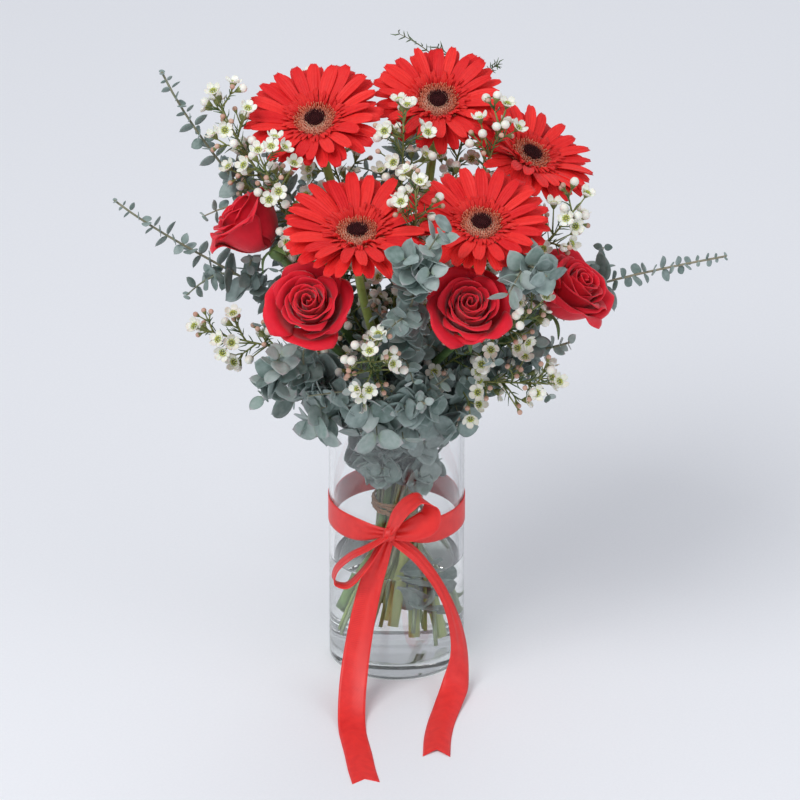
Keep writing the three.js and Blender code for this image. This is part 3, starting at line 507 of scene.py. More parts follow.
class Sculpt:
    """One piece in the making: blades that get a thickness, then rods and turned forms."""

    def __init__(self) -> None:
        """Starts with nothing in it."""
        self.blades = bmesh.new()
        self.rods = bmesh.new()
        for mesh in (self.blades, self.rods):
            mesh.loops.layers.uv.new("UVMap")
            mesh.verts.layers.float.new("tone")

    @staticmethod
    def _grid(mesh: bmesh.types.BMesh, along: int, across: int, form: Form, tone: float,
              finish: int, patch: Pair = (1.0, 1.0)) -> None:
        """Adds a grid laid to a form, with its seams and poles closed."""
        made = bmesh.ops.create_grid(
            mesh, x_segments=along, y_segments=across, size=1.0, calc_uvs=True
        )["verts"]
        layer = mesh.verts.layers.float["tone"]
        pattern = mesh.loops.layers.uv["UVMap"]
        for vert in made:
            vert.co = form((vert.co.x + 1) / 2, vert.co.y)
            vert[layer] = tone
        for face in {face for vert in made for face in vert.link_faces}:
            face.material_index = finish
            face.smooth = True
            for loop in face.loops:
                u, v = loop[pattern].uv
                loop[pattern].uv = (u * patch[0], v * patch[1])
        bmesh.ops.remove_doubles(mesh, verts=made, dist=0.004)

    def blade(self, form: Form, along: int = 6, across: int = 4, tone: float = 0.5,
              finish: int = 0, patch: Pair = (1.0, 1.0)) -> None:
        """Adds a thin blade of a form, with its tone, its finish and how much pattern it takes."""
        self._grid(self.blades, along, across, form, tone, finish, patch)

    def rod(self, points: Sequence[Vector], radii: Sequence[float], sides: int = 8,
            tone: float = 0.5, finish: int = 0) -> None:
        """Adds a round solid along points, with its radius at each, closed at both ends."""
        line = [points[0], *points, points[-1]]
        sizes = [0.0, *radii, 0.0]
        frames = self._frames(points)
        frames = [frames[0], *frames, frames[-1]]
        steps = len(line) - 1

        def form(s: float, t: float) -> Vector:
            """Returns the point at s along and t across."""
            i = round(s * steps)
            angle = pi * (t + 1)
            side, other = frames[i]
            return line[i] + (side * cos(angle) + other * sin(angle)) * sizes[i]

        self._grid(self.rods, steps, sides, form, tone, finish)

    @staticmethod
    def _frames(points: Sequence[Vector]) -> list[tuple[Vector, Vector]]:
        """Returns two directions square to a line at each of its points, turning with it."""
        frames = []
        side = None
        for i in range(len(points)):
            along = (points[min(i + 1, len(points) - 1)] - points[max(i - 1, 0)]).normalized()
            if side is None:
                side = along.orthogonal()
            side = (side - along * side.dot(along)).normalized()
            frames.append((side, along.cross(side)))
        return frames

    def turned(self, place: Matrix, profile: Sequence[Pair], sides: int = 16,
               tone: float = 0.5, finish: int = 0) -> None:
        """Adds a solid turned about the Z axis of a place, from its radii and heights."""
        steps = len(profile) - 1

        def form(s: float, t: float) -> Vector:
            """Returns the point at s along and t across."""
            radius, height = profile[round(s * steps)]
            angle = pi * (t + 1)
            return place @ around(angle, radius, height)

        self._grid(self.rods, steps, sides, form, tone, finish)

    def stem(self, stem: Stem, taper: float, sides: int, tone: float, finish: int = 0) -> None:
        """Adds a whole stem.

        Args:
            stem: the stem.
            taper: the share of its thickness that it loses towards its end.
            sides: the sides of its section.
            tone: where its colour lies between its finish's two tones.
            finish: the number of its finish.
        """
        points = stem.points_along()
        count = len(points)
        radii = [stem.radius * (1 - taper * k / count) for k in range(count)]
        self.rod(points, radii, sides, tone, finish)

    def piece(self, name: str, slot: str, node: str, finishes: Sequence[Material],
              thickness: float = 0.4) -> bpy.types.Object:
        """Gives the blades their thickness, joins all and makes the piece.

        Args:
            name: the piece's name.
            slot: not used.
            node: the frame's node that it stands for.
            finishes: the materials that it wears.
            thickness: how thick the blades are.

        Returns:
            The piece, at the origin, in metres.
        """
        mesh = self.blades
        if mesh.faces:
            bmesh.ops.solidify(mesh, geom=mesh.faces[:], thickness=thickness)
        carrier = bpy.data.meshes.new("rods")
        self.rods.to_mesh(carrier)
        self.rods.free()
        mesh.from_mesh(carrier)
        bpy.data.meshes.remove(carrier)
        bmesh.ops.recalc_face_normals(mesh, faces=mesh.faces[:])
        bmesh.ops.scale(mesh, vec=(MM, MM, MM), verts=mesh.verts[:])
        return settle(dressed(name, mesh, finishes), node)


# ---- Finishes ----


def linear(code: str) -> tuple[float, float, float, float]:
    """Returns an sRGB colour of six hex digits in linear light, with full cover."""
    shares = [int(code[k:k + 2], 16) / 255 for k in (0, 2, 4)]
    return (*(c / 12.92 if c <= 0.04045 else ((c + 0.055) / 1.055) ** 2.4 for c in shares), 1.0)


def add_node(tree: bpy.types.NodeTree, kind: str, settings: dict | None = None,
             links: dict | None = None) -> bpy.types.Node:
    """Adds a node with its settings and links.

    Args:
        tree: the node tree.
        kind: the node's type, without the part that all shader nodes share.
        settings: values, by the node's own setting or by its input's name or number.
        links: the sockets, or nodes whose first output is meant, that feed its inputs.

    Returns:
        The node.
    """
    node = tree.nodes.new("ShaderNode" + kind)
    for name, value in (settings or {}).items():
        if isinstance(name, int) or name in node.inputs:
            node.inputs[name].default_value = value
        else:
            setattr(node, name, value)
    for name, source in (links or {}).items():
        socket = source.outputs[0] if isinstance(source, bpy.types.Node) else source
        tree.links.new(socket, node.inputs[name])
    return node


def close_tree(tree: bpy.types.NodeTree, settings: dict, links: dict) -> None:
    """Ends a tree with its surface: the constant values, and the sockets that feed it."""
    surface = add_node(tree, "BsdfPrincipled", settings, links)
    add_node(tree, "OutputMaterial", links={"Surface": surface})


def per_metre(size_mm: float) -> float:
    """Returns a pattern's scale on object coordinates, from the size of its marks."""
    return 1 / (size_mm * MM)


@dataclass(frozen=True)
class Finish:
    """A finish, which is painted by nodes on a new material of its name."""

    name: str

    def make(self) -> Material:
        """Returns the material."""
        material = bpy.data.materials.new(self.name)
        material.use_nodes = True
        material.node_tree.nodes.clear()
        self.paint(material.node_tree)
        return material

    def paint(self, tree: bpy.types.NodeTree) -> None:
        """Builds the finish in an empty tree."""
        raise NotImplementedError


@dataclass(frozen=True)
class PlantSkin(Finish):
    """A living leaf, petal or stem: two tones, darker roots (painted shade on the rose's petals),
    lengthwise veins and mottling.
    """

    deep: str
    bright: str
    root: str
    root_share: float = 0.3
    tip: str = ""
    tip_share: float = 0.3
    mottle_mm: float = 4.0
    mottle: float = 0.4
    veins: float = 5.0
    vein_depth: float = 0.25
    roughness: float = 0.5
    sheen: float = 0.0
    subsurface: float = 0.0
    specular: float = 0.5

    def paint(self, tree: bpy.types.NodeTree) -> None:
        """Paints tones that vary from blade to blade and along each, with veins as relief."""
        place = add_node(tree, "TexCoord")
        pattern = add_node(tree, "UVMap", {"uv_map": "UVMap"})
        parts = add_node(tree, "SeparateXYZ", links={"Vector": pattern})
        along, across = parts.outputs["X"], parts.outputs["Y"]
        tone = add_node(tree, "Attribute", {"attribute_name": "tone"}).outputs["Fac"]
        marks = add_node(tree, "TexNoise", {"Scale": per_metre(self.mottle_mm), "Detail": 3.0},
                         {"Vector": place.outputs["Object"]})
        spread = add_node(tree, "MapRange", {"From Min": 0.3, "From Max": 0.7}, {"Value": marks})
        share = add_node(tree, "Mix", {"data_type": "FLOAT", "Factor": self.mottle},
                         {"A": tone, "B": spread})
        ends = {"Color1": linear(self.deep), "Color2": linear(self.bright)}
        colour = add_node(tree, "MixRGB", ends, {"Fac": share})
        # Near the root the colour goes to a tone of its own: the plant's own colour on stems and
        # leaves, and painted shade on the rose's petals, whose roots lie deep in the bloom.
        near = add_node(tree, "MapRange", {"From Max": self.root_share, "To Min": 1.0,
                                           "To Max": 0.0}, {"Value": along})
        colour = add_node(tree, "MixRGB", {"Color2": linear(self.root)},
                          {"Fac": near, "Color1": colour})
        if self.tip:
            far = add_node(tree, "MapRange", {"From Min": 1 - self.tip_share, "From Max": 1.0},
                           {"Value": along})
            colour = add_node(tree, "MixRGB", {"Color2": linear(self.tip)},
                              {"Fac": far, "Color1": colour})
        turn = add_node(tree, "Math", {"operation": "MULTIPLY", 1: FULL_TURN * self.veins},
                        {0: across})
        vein = add_node(tree, "Math", {"operation": "COSINE"}, {0: turn})
        relief = add_node(tree, "Math", {"operation": "MULTIPLY_ADD", 1: 0.5}, {0: vein, 2: marks})
        bump = add_node(tree, "Bump", {"Strength": self.vein_depth, "Distance": 0.4 * MM},
                        {"Height": relief})
        close_tree(tree, {
            "Roughness": self.roughness, "Sheen Weight": self.sheen, "Sheen Roughness": 0.4,
            "Subsurface Weight": self.subsurface, "Subsurface Radius": (1.0, 0.35, 0.2),
            "Subsurface Scale": 1.5 * MM, "Specular IOR Level": self.specular,
        }, {"Base Color": colour, "Normal": bump})


@dataclass(frozen=True)
class ClearBody(Finish):
    """Glass or water: clear, faintly tinted, with a surface that is very slightly uneven."""

    tint: str
    ior: float
    wave_mm: float
    wave_depth: float
    clear: float = 1.0
    roughness: float = 0.0

    def paint(self, tree: bpy.types.NodeTree) -> None:
        """Lets light through, and lamp light without any shadow."""
        place = add_node(tree, "TexCoord").outputs["Object"]
        wave = add_node(tree, "TexNoise", {"Scale": per_metre(self.wave_mm), "Detail": 1.0},
                        {"Vector": place})
        ends = {"Color1": linear(self.tint), "Color2": linear("FFFFFF")}
        colour = add_node(tree, "MixRGB", ends, {"Fac": wave})
        bump = add_node(tree, "Bump", {"Strength": self.wave_depth, "Distance": 0.2 * MM},
                        {"Height": wave})
        clear = add_node(tree, "BsdfPrincipled", {
            "Transmission Weight": self.clear, "Roughness": self.roughness, "IOR": self.ior,
        }, {"Base Color": colour, "Normal": bump})
        # Lamp light goes straight through, as it nearly does in a thin clear wall.
        lamp = add_node(tree, "LightPath").outputs["Is Shadow Ray"]
        open_way = add_node(tree, "BsdfTransparent", {"Color": linear("FBFDFC")})
        both = add_node(tree, "MixShader", links={0: lamp, 1: clear, 2: open_way})
        add_node(tree, "OutputMaterial", links={"Surface": both})


@dataclass(frozen=True)
class SatinRibbon(Finish):
    """Woven polyester ribbon: a satin sheen over fine ribs that run across it."""

    name: str = "satin_ribbon"
    deep: str = "D21A22"
    bright: str = "F43A34"
    rib_mm: float = 1.1

    def paint(self, tree: bpy.types.NodeTree) -> None:
        """Paints the ribs as shade and relief, under a cloudy sheen."""
        pattern = add_node(tree, "UVMap", {"uv_map": "UVMap"})
        parts = add_node(tree, "SeparateXYZ", links={"Vector": pattern})
        # The pattern's first coordinate counts 100 mm of the ribbon's length. Its real ribs are
        # about 0.5 mm apart, too fine to show here, so they are drawn twice as coarse.
        turn = add_node(tree, "Math", {"operation": "MULTIPLY", 1: FULL_TURN * 100 / self.rib_mm},
                        {0: parts.outputs["X"]})
        rib = add_node(tree, "Math", {"operation": "SINE"}, {0: turn})
        height = add_node(tree, "MapRange", {"From Min": -1.0}, {"Value": rib})
        cloud = add_node(tree, "TexNoise", {"Scale": 14.0, "Detail": 2.0}, {"Vector": pattern})
        shade = add_node(tree, "Math", {"operation": "MULTIPLY_ADD", 1: 0.35},
                         {0: height, 2: cloud})
        ends = {"Color1": linear(self.deep), "Color2": linear(self.bright)}
        colour = add_node(tree, "MixRGB", ends, {"Fac": shade})
        bump = add_node(tree, "Bump", {"Strength": 0.35, "Distance": 0.15 * MM}, {"Height": height})
        close_tree(tree, {"Roughness": 0.42, "Sheen Weight": 0.1, "Sheen Roughness": 0.3,
                          "Anisotropic": 0.5, "Specular IOR Level": 0.5,
                          "Subsurface Weight": 0.45, "Subsurface Radius": (1.0, 0.3, 0.3),
                          "Subsurface Scale": 0.8 * MM},
                   {"Base Color": colour, "Normal": bump})


@dataclass(frozen=True)
class DryRaffia(Finish):
    """Raffia twine: dull brown strands with long pale fibres."""

    name: str = "dry_raffia"
    deep: str = "5A4030"
    bright: str = "B08A62"

    def paint(self, tree: bpy.types.NodeTree) -> None:
        """Paints fibres that run along the twine."""
        pattern = add_node(tree, "UVMap", {"uv_map": "UVMap"})
        fibres = add_node(tree, "Mapping", {"Scale": (60.0, 9.0, 1.0)}, {"Vector": pattern})
        marks = add_node(tree, "TexNoise", {"Scale": 1.0, "Detail": 3.0}, {"Vector": fibres})
        ends = {"Color1": linear(self.deep), "Color2": linear(self.bright)}
        colour = add_node(tree, "MixRGB", ends, {"Fac": marks})
        bump = add_node(tree, "Bump", {"Strength": 0.6, "Distance": 0.3 * MM}, {"Height": marks})
        close_tree(tree, {"Roughness": 0.85, "Sheen Weight": 0.2},
                   {"Base Color": colour, "Normal": bump})


@dataclass(frozen=True)
class PaintedFloor(Finish):
    """Matt pale paint on the studio's floor."""

    name: str = "matt_pale_paint"
    colour: str = "EDEEF2"

    def paint(self, tree: bpy.types.NodeTree) -> None:
        """Paints the floor in two near tones."""
        place = add_node(tree, "TexCoord").outputs["Object"]
        marks = add_node(tree, "TexNoise", {"Scale": per_metre(2.0)}, {"Vector": place})
        ends = {"Color1": linear(self.colour), "Color2": linear("F4F5F8")}
        colour = add_node(tree, "MixRGB", ends, {"Fac": marks})
        close_tree(tree, {"Roughness": 0.6}, {"Base Color": colour})


class Finishes:
    """Every finish of the arrangement, made once."""

    def __init__(self) -> None:
        """Makes the materials."""
        self.glass = ClearBody("soda_lime_glass", "FDFEFE", 1.5, 60.0, 0.05).make()
        # The rim's finish lets only part of the light through and is diffuse white for the rest:
        # painted light, standing in for the brightness that light carried up through the glass wall
        # gives the rim.
        self.rim = ClearBody("glass_rim_painted_light", "FFFFFF", 1.5, 12.0, 0.2, 0.55, 0.12).make()
        self.water = ClearBody("still_water", "FCFEFD", 1.333, 25.0, 0.08).make()
        self.ribbon = SatinRibbon().make()
        self.raffia = DryRaffia().make()
        self.gerbera_stem = PlantSkin("gerbera_stem_skin", "8EA048", "B4C266", "C6D48C", 0.3,
                                      veins=5, vein_depth=0.3, roughness=0.55, sheen=0.3,
                                      subsurface=0.1).make()
        self.bract = PlantSkin("gerbera_bract", "4E6A30", "7F9A4C", "5E7A3C", veins=2).make()
        self.ray = PlantSkin("gerbera_ray", "D8151E", "FC3832", "B80F1A", 0.2, veins=4,
                             vein_depth=0.5, mottle=0.25, roughness=0.55, sheen=0.08,
                             subsurface=0.12, specular=0.25).make()
        self.floret = PlantSkin("gerbera_floret", "8C1A18", "FF8C64", "7A1016", 0.25, "FFE0C0", 0.4,
                                mottle_mm=2, roughness=0.6, specular=0.3).make()
        self.eye = PlantSkin("gerbera_eye", "220C10", "5A2024", "140809", 0.3, "7A383A", 0.3,
                             mottle_mm=1, roughness=0.7, specular=0.25).make()
        self.rose_stem = PlantSkin("rose_stem_skin", "3F5C2E", "6A8448", "86A866", 0.35,
                                   veins=3).make()
        # The rose petals' darker root tone is painted shade deep in the heart of the bloom.
        self.rose_petal = PlantSkin("rose_petal", "BE1026", "EA2236", "9C0C1E", 0.3, "EE2A3C", 0.1,
                                    mottle_mm=8, mottle=0.3, veins=9, vein_depth=0.12,
                                    roughness=0.62, sheen=0.25, subsurface=0.3,
                                    specular=0.2).make()
        self.eucalyptus = PlantSkin("eucalyptus_leaf", "566E66", "A4B4B1", "889E8A", 0.12,
                                    "A2AEAD", 0.12, mottle_mm=5, mottle=0.45, veins=1,
                                    vein_depth=0.35, roughness=0.6, sheen=0.15).make()
        self.young_leaf = PlantSkin("young_eucalyptus_leaf", "7E978E", "B4BEBB", "94A890", 0.2,
                                    "B2AEB0", 0.2, mottle_mm=4, mottle=0.4, veins=1,
                                    vein_depth=0.3, roughness=0.6, sheen=0.2).make()
        self.eucalyptus_stem = PlantSkin("eucalyptus_stem_skin", "6E7A62", "9A8F78", "9CAE88", 0.4,
                                         veins=2).make()
        self.wax_stalk = PlantSkin("waxflower_stalk", "66703C", "8F9454", "92A866", 0.4).make()
        self.wax_petal = PlantSkin("waxflower_petal", "E4E1D4", "F8F7EE", "D4DCB6", 0.3,
                                   mottle_mm=2, mottle=0.3, veins=2, vein_depth=0.2,
                                   roughness=0.45, subsurface=0.1).make()
        self.wax_centre = PlantSkin("waxflower_centre", "A5AE3E", "CBCF66", "8E9A34").make()
        self.wax_bud = PlantSkin("waxflower_small_bud", "B98A76", "DDB9A4", "8F9258", 0.35,
                                 mottle_mm=2).make()
        self.needle = PlantSkin("waxflower_needle", "344C2C", "5E7A44", "5A6E40").make()
        self.floor = PaintedFloor().make()


# ---- Vase, water, twine and ribbon ----


def spun(name: str, profile: Sequence[Pair], steps: int, finish: Material) -> bpy.types.Object:
    """Spins a profile round the vase's axis.

    Args:
        name: the object's name.
        profile: radii and heights, from the axis round to the axis.
        steps: the parts of the turn.
        finish: its material.

    Returns:
        The object.
    """
    mesh = bmesh.new()
    line = [mesh.verts.new((radius * MM, 0, height * MM)) for radius, height in profile]
    edges = [mesh.edges.new(pair) for pair in zip(line, line[1:])]
    bmesh.ops.spin(mesh, geom=line + edges, axis=(0, 0, 1), cent=(0, 0, 0), angle=FULL_TURN,
                   steps=steps, use_merge=True)
    bmesh.ops.remove_doubles(mesh, verts=mesh.verts[:], dist=0.001 * MM)
    bmesh.ops.recalc_face_normals(mesh, faces=mesh.faces[:])
    for face in mesh.faces:
        face.smooth = True
    return dressed(name, mesh, [finish])


def rounded(centre: Pair, radius: float, start: float, end: float, steps: int = 5) -> list[Pair]:
    """Returns the points of an arc in a profile, between two angles in degrees."""
    angles = [radians(start + (end - start) * k / steps) for k in range(steps + 1)]
    return [(centre[0] + radius * cos(a), centre[1] + radius * sin(a)) for a in angles]


def held(profile: Sequence[Pair], near: float = 0.35, longest: float = 4.0) -> list[Pair]:
    """Adds points near the ends of a profile's long sides, so that they shade as straight."""
    points = [profile[0]]
    for start, end in zip(profile, profile[1:]):
        length = dist(start, end)
        shares = (near / length, 1 - near / length) if length > longest else ()
        points += [(start[0] + (end[0] - start[0]) * share, start[1] + (end[1] - start[1]) * share)
                   for share in shares]
        points.append(end)
    return points


@dataclass
class Vase:
    """The glass cylinder, and the water that it holds."""

    finishes: Finishes
    edge: float = 2.0
    inner_edge: float = 3.0
    overlap: float = 0.08
    meniscus: float = 1.2
    steps: int = 128

    def build(self) -> None:
        """Makes the vase and the water."""
        inner = VASE_RADIUS - GLASS_WALL
        lip = GLASS_WALL / 2
        glass = [
            (0, 0.6), (VASE_RADIUS - 12, 0.6), (VASE_RADIUS - 9, 0.0),
            *rounded((VASE_RADIUS - self.edge, self.edge), self.edge, -90, 0),
            *rounded((VASE_RADIUS - lip, VASE_HEIGHT - lip), lip, 0, 180, 8),
            *rounded((inner - self.inner_edge, GLASS_FLOOR + self.inner_edge), self.inner_edge, 0,
                     -90),
            (0, GLASS_FLOOR),
        ]
        vase = spun("vase_glass", held(glass), self.steps, self.finishes.glass)
        # The lip wears the half-clear rim finish, whose white is painted light.
        vase.data.materials.append(self.finishes.rim)
        for face in vase.data.polygons:
            if face.center.z > (VASE_HEIGHT - lip) * MM:
                face.material_index = 1
        settle(vase, "vase")
        wet = inner + self.overlap
        low = GLASS_FLOOR - self.overlap
        rise = self.meniscus
        water = [
            (0, low),
            *rounded((inner - self.inner_edge, low + self.inner_edge), self.inner_edge
                     + self.overlap, -90, 0),
            (wet, WATER_LEVEL + rise - 0.3), (inner - 0.25 * rise, WATER_LEVEL + 0.45 * rise - 0.3),
            (inner - rise, WATER_LEVEL + 0.1 * rise - 0.3), (inner - 2.5 * rise, WATER_LEVEL - 0.3),
            (0, WATER_LEVEL - 0.3),
        ]
        settle(spun("water_body", held(water), self.steps, self.finishes.water), "water")


@dataclass
class Twine:
    """The raffia that is wound round the stems: two plies, in close turns."""

    bundle: Bundle
    finishes: Finishes
    gap: float = 0.3
    strand: float = 0.8
    turns: int = 5
    pitch: float = 1.95
    ply_length: float = 9.0

    def _reach(self, angle: float) -> float:
        """Returns how far out the twine lies, so that it clears every stem on that side."""
        way = complex(cos(angle), -sin(angle))
        nearby = max((stem.tie * way).real + stem.radius for stem in self.bundle.stems)
        return nearby + self.gap + 2 * self.strand

    def build(self) -> None:
        """Makes the twine."""
        sculpt = Sculpt()
        reaches = [self._reach(FULL_TURN * k / 40) for k in range(40)]
        steps = self.turns * 40
        length = self.turns * FULL_TURN * reaches[0]
        for ply in range(2):
            points = []
            for i in range(steps + 1):
                angle = FULL_TURN * self.turns * i / steps
                lay = FULL_TURN * length * i / steps / self.ply_length + pi * ply
                slack = 0.55 * (1 + sin(2.3 * angle / self.turns * 3 + ply))
                out = reaches[i % 40] + self.strand * 0.7 * cos(lay) + slack
                height = (TIE_HEIGHT + self.pitch * self.turns * (i / steps - 0.5)
                          + self.strand * 0.7 * sin(lay) + 1.9 * sin(1.4 * angle + 2.5))
                points.append(around(angle, out, height))
            sculpt.rod(points, [self.strand] * len(points), 6, 0.3 + 0.4 * ply)
        sculpt.piece("raffia_tie", "raffia", "twine", [self.finishes.raffia])


class Course:
    """A smooth course through points, as the frame's ribbon has."""

    def __init__(self, points: Sequence[Sequence[float]]) -> None:
        """Keeps the points, with one more beyond each end."""
        stops = [Vector(point) for point in points]
        self.stops = [stops[0] * 2 - stops[1], *stops, stops[-1] * 2 - stops[-2]]

    def at(self, share: float) -> Vector:
        """Returns the point at a share of the stops passed, from 0 to 1."""
        count = len(self.stops) - 3
        place = min(max(share, 0.0), 1.0) * count
        i = min(int(place), count - 1)
        w = place - i
        p0, p1, p2, p3 = self.stops[i:i + 4]
        d0, d1, d2 = (max((b - a).length, 1e-4) ** 0.5 for a, b in ((p0, p1), (p1, p2), (p2, p3)))
        leave = ((p1 - p0) / d0 - (p2 - p0) / (d0 + d1) + (p2 - p1) / d1) * d1
        reach = ((p2 - p1) / d1 - (p3 - p1) / (d1 + d2) + (p3 - p2) / d2) * d1
        return (p1 + leave * w + (p2 * 3 - p1 * 3 - leave * 2 - reach) * w**2
                + (p1 * 2 - p2 * 2 + leave + reach) * w**3)


@dataclass(frozen=True)
class Stop:
    """A point of a ribbon's middle line, its direction across there and its share of the width."""

    at: Spot
    across: Spot
    width: float = 1.0


LEFT_TAIL = (
    Stop((-6, -56, 122), (1, 0, 0), 0.4),
    Stop((-13, -59, 104), (1, -0.1, 0), 0.7),
    Stop((-20, -63, 82), (1, -0.1, 0), 0.85),
    Stop((-28, -75, 45), (1, -0.1, 0), 0.95),
    Stop((-32, -92, 19), (1, 0, 0)),
    Stop((-33, -112, 4), (1, 0.05, 0)),
    Stop((-32, -132, 0.6), (1, 0.1, 0)),
    Stop((-28, -163, 0.55), (1, 0.1, 0)),
    Stop((-25, -189, 0.55), (1, 0.12, 0)),
    Stop((-22, -208, 0.55), (1, 0.15, 0)),
)
RIGHT_TAIL = (
    Stop((-3, -56, 122), (0.4, 0.2, 1), 0.4),
    Stop((16, -58, 106), (0.5, 0.65, 0.3), 0.48),
    Stop((37, -56, 70), (0.5, 0.9, 0), 0.6),
    Stop((46, -58, 32), (0.65, 0.75, -0.1), 0.88),
    Stop((44, -70, 11), (0.85, 0.5, 0)),
    Stop((38, -92, 3), (1, 0.1, 0)),
    Stop((33, -115, 0.6), (1, -0.2, 0)),
    Stop((30, -140, 0.55), (1, -0.15, 0)),
    Stop((29, -168, 0.55), (1, -0.05, 0)),
)
UPPER_LOOP = (
    Stop((-5, -56, 126), (0.4, -0.9, 0), 0.4),
    Stop((0, -61, 140), (0.4, -0.9, 0), 0.85),
    Stop((8, -64, 152), (0.45, -0.9, 0), 0.9),
    Stop((17, -65, 157), (0.5, -0.85, 0), 0.9),
    Stop((24, -65, 152), (0.6, -0.8, -0.1)),
    Stop((24, -67, 142), (0.65, -0.65, -0.4)),
    Stop((13, -65, 133), (0.6, -0.5, -0.65), 0.9),
    Stop((-4, -56, 125), (0.4, -0.7, -0.6), 0.4),
)
LOWER_LOOP = tuple(Stop(at, (0.1, -0.97, 0.2), width) for at, width in (
    ((-6, -56, 124), 0.4), ((-21, -62, 117), 0.8), ((-35, -62, 109), 0.85),
    ((-45, -62, 98), 0.85), ((-46, -62, 88), 0.85), ((-37, -62, 85), 0.85),
    ((-24, -61, 97), 0.8), ((-6, -56, 123), 0.4)))


@dataclass
class Ribbon:
    """The red ribbon: a band round the vase, a knot, two loops and two tails."""

    finishes: Finishes
    width: float = 20.0
    thickness: float = 0.5
    band_height: float = 121.0
    gap: float = 0.3
    notch: float = 9.0
    lie: float = 0.15
    knot: Spot = (-5, -55.5, 124)
    length: float = 0.0

    def _stretch(self, sculpt: Sculpt, stops: Sequence[Stop], steps: int, notch: float,
                 belly: float) -> None:
        """Adds one loop or tail.

        Args:
            sculpt: the piece in the making.
            stops: its course.
            steps: the parts along it.
            notch: how deep its end is cut in.
            belly: how far its middle stands off its edges.
        """
        middle = Course([stop.at for stop in stops])
        across = Course([stop.across for stop in stops])
        widths = Course([(stop.width, 0, 0) for stop in stops])
        samples = [middle.at(k / 200) for k in range(201)]
        length = sum((b - a).length for a, b in zip(samples, samples[1:]))
        self.length += length
        lowest = self.thickness / 2 + self.lie

        def form(s: float, t: float) -> Vector:
            """Returns the point at s along and t across."""
            share = s * (1 - notch / length * (1 - abs(t)))
            along = (middle.at(share + 0.004) - middle.at(share - 0.004)).normalized()
            side = across.at(share)
            side = (side - along * side.dot(along)).normalized()
            up = side.cross(along)
            width = min(widths.at(share).x, 1.0)
            # Where the knot draws the ribbon in, its width is taken up by pleats.
            pleat = (1 - width) * 2.2 * cos(2.5 * pi * t)
            lift = belly * (1 - t * t) * width + pleat
            point = middle.at(share) + side * (self.width / 2 * width * t) + up * lift
            point.z = max(point.z, lowest)
            return point

        sculpt.blade(form, steps, 10, 0.5, patch=(length / 100, self.width / 100))

    def _band(self, sculpt: Sculpt) -> None:
        """Adds the band, drawn in and pleated where the knot holds it."""
        radius = VASE_RADIUS + self.gap + self.thickness / 2
        circle = FULL_TURN * radius
        self.length += circle
        knot_at = atan2(self.knot[1], self.knot[0])

        def form(s: float, t: float) -> Vector:
            """Returns the point at s along and t across."""
            angle = knot_at + FULL_TURN * s
            off = min(s, 1 - s) * circle
            drawn = exp(-((off / 19) ** 2))
            half = self.width / 2 * (1 - 0.62 * drawn)
            pleat = 0.9 * drawn * (1 + cos(3 * pi * t))
            return around(angle, radius + pleat, self.band_height + half * t + 1.5 * drawn)

        sculpt.blade(form, 120, 10, 0.5, patch=(circle / 100, self.width / 100))

    def _knot(self, sculpt: Sculpt) -> None:
        """Adds the knot: a short length wrapped tightly over the crossing, in soft folds."""
        centre = Vector(self.knot)
        round_way = 34.0
        self.length += round_way

        def form(s: float, t: float) -> Vector:
            """Returns the point at s along and t across."""
            angle = FULL_TURN * s
            swell = 1 - 0.35 * t * t + 0.07 * cos(3 * pi * t + 1.3 * sin(angle))
            return centre + Vector((4.6 * t + 0.9 * sin(angle), -4.4 * swell * cos(angle),
                                    5.4 * swell * sin(angle)))

        sculpt.blade(form, 28, 10, 0.5, patch=(round_way / 100, 0.1))

    def build(self) -> None:
        """Makes the ribbon."""
        sculpt = Sculpt()
        self._band(sculpt)
        self._stretch(sculpt, LEFT_TAIL, 90, self.notch, 1.2)
        self._stretch(sculpt, RIGHT_TAIL, 80, self.notch, -1.2)
        self._stretch(sculpt, UPPER_LOOP, 48, 0, 0.8)
        self._stretch(sculpt, LOWER_LOOP, 48, 0, 0.8)
        self._knot(sculpt)
        piece = sculpt.piece("ribbon_bow", "ribbon", "ribbon", [self.finishes.ribbon],
                             self.thickness)


# ---- Gerberas ----

RAYS_ROUND = 10
RAY_ROOT = 10.5


@dataclass(frozen=True)
class RayLayer:
    """A layer of the frame's rays."""

    height: float
    rise: float
    droop: float
    length: float
    half: float
    shift: float


RAY_LAYERS = (
    RayLayer(-7.2, 0.32, 0, 1, 5.3, 0),
    RayLayer(-6.2, 0.52, 0.26, 0.96, 5.2, 0.5),
    RayLayer(-5.2, 0.6, 0.3, 0.5, 3.1, 1),
)
RAY_BENDS = (0, -0.12, 0.12, -0.26, 0.26, -0.42, 0.4, -0.6)
RAY_LENGTHS = (1, 0.92, 0.84, 0.72, 0.6, 0.48)


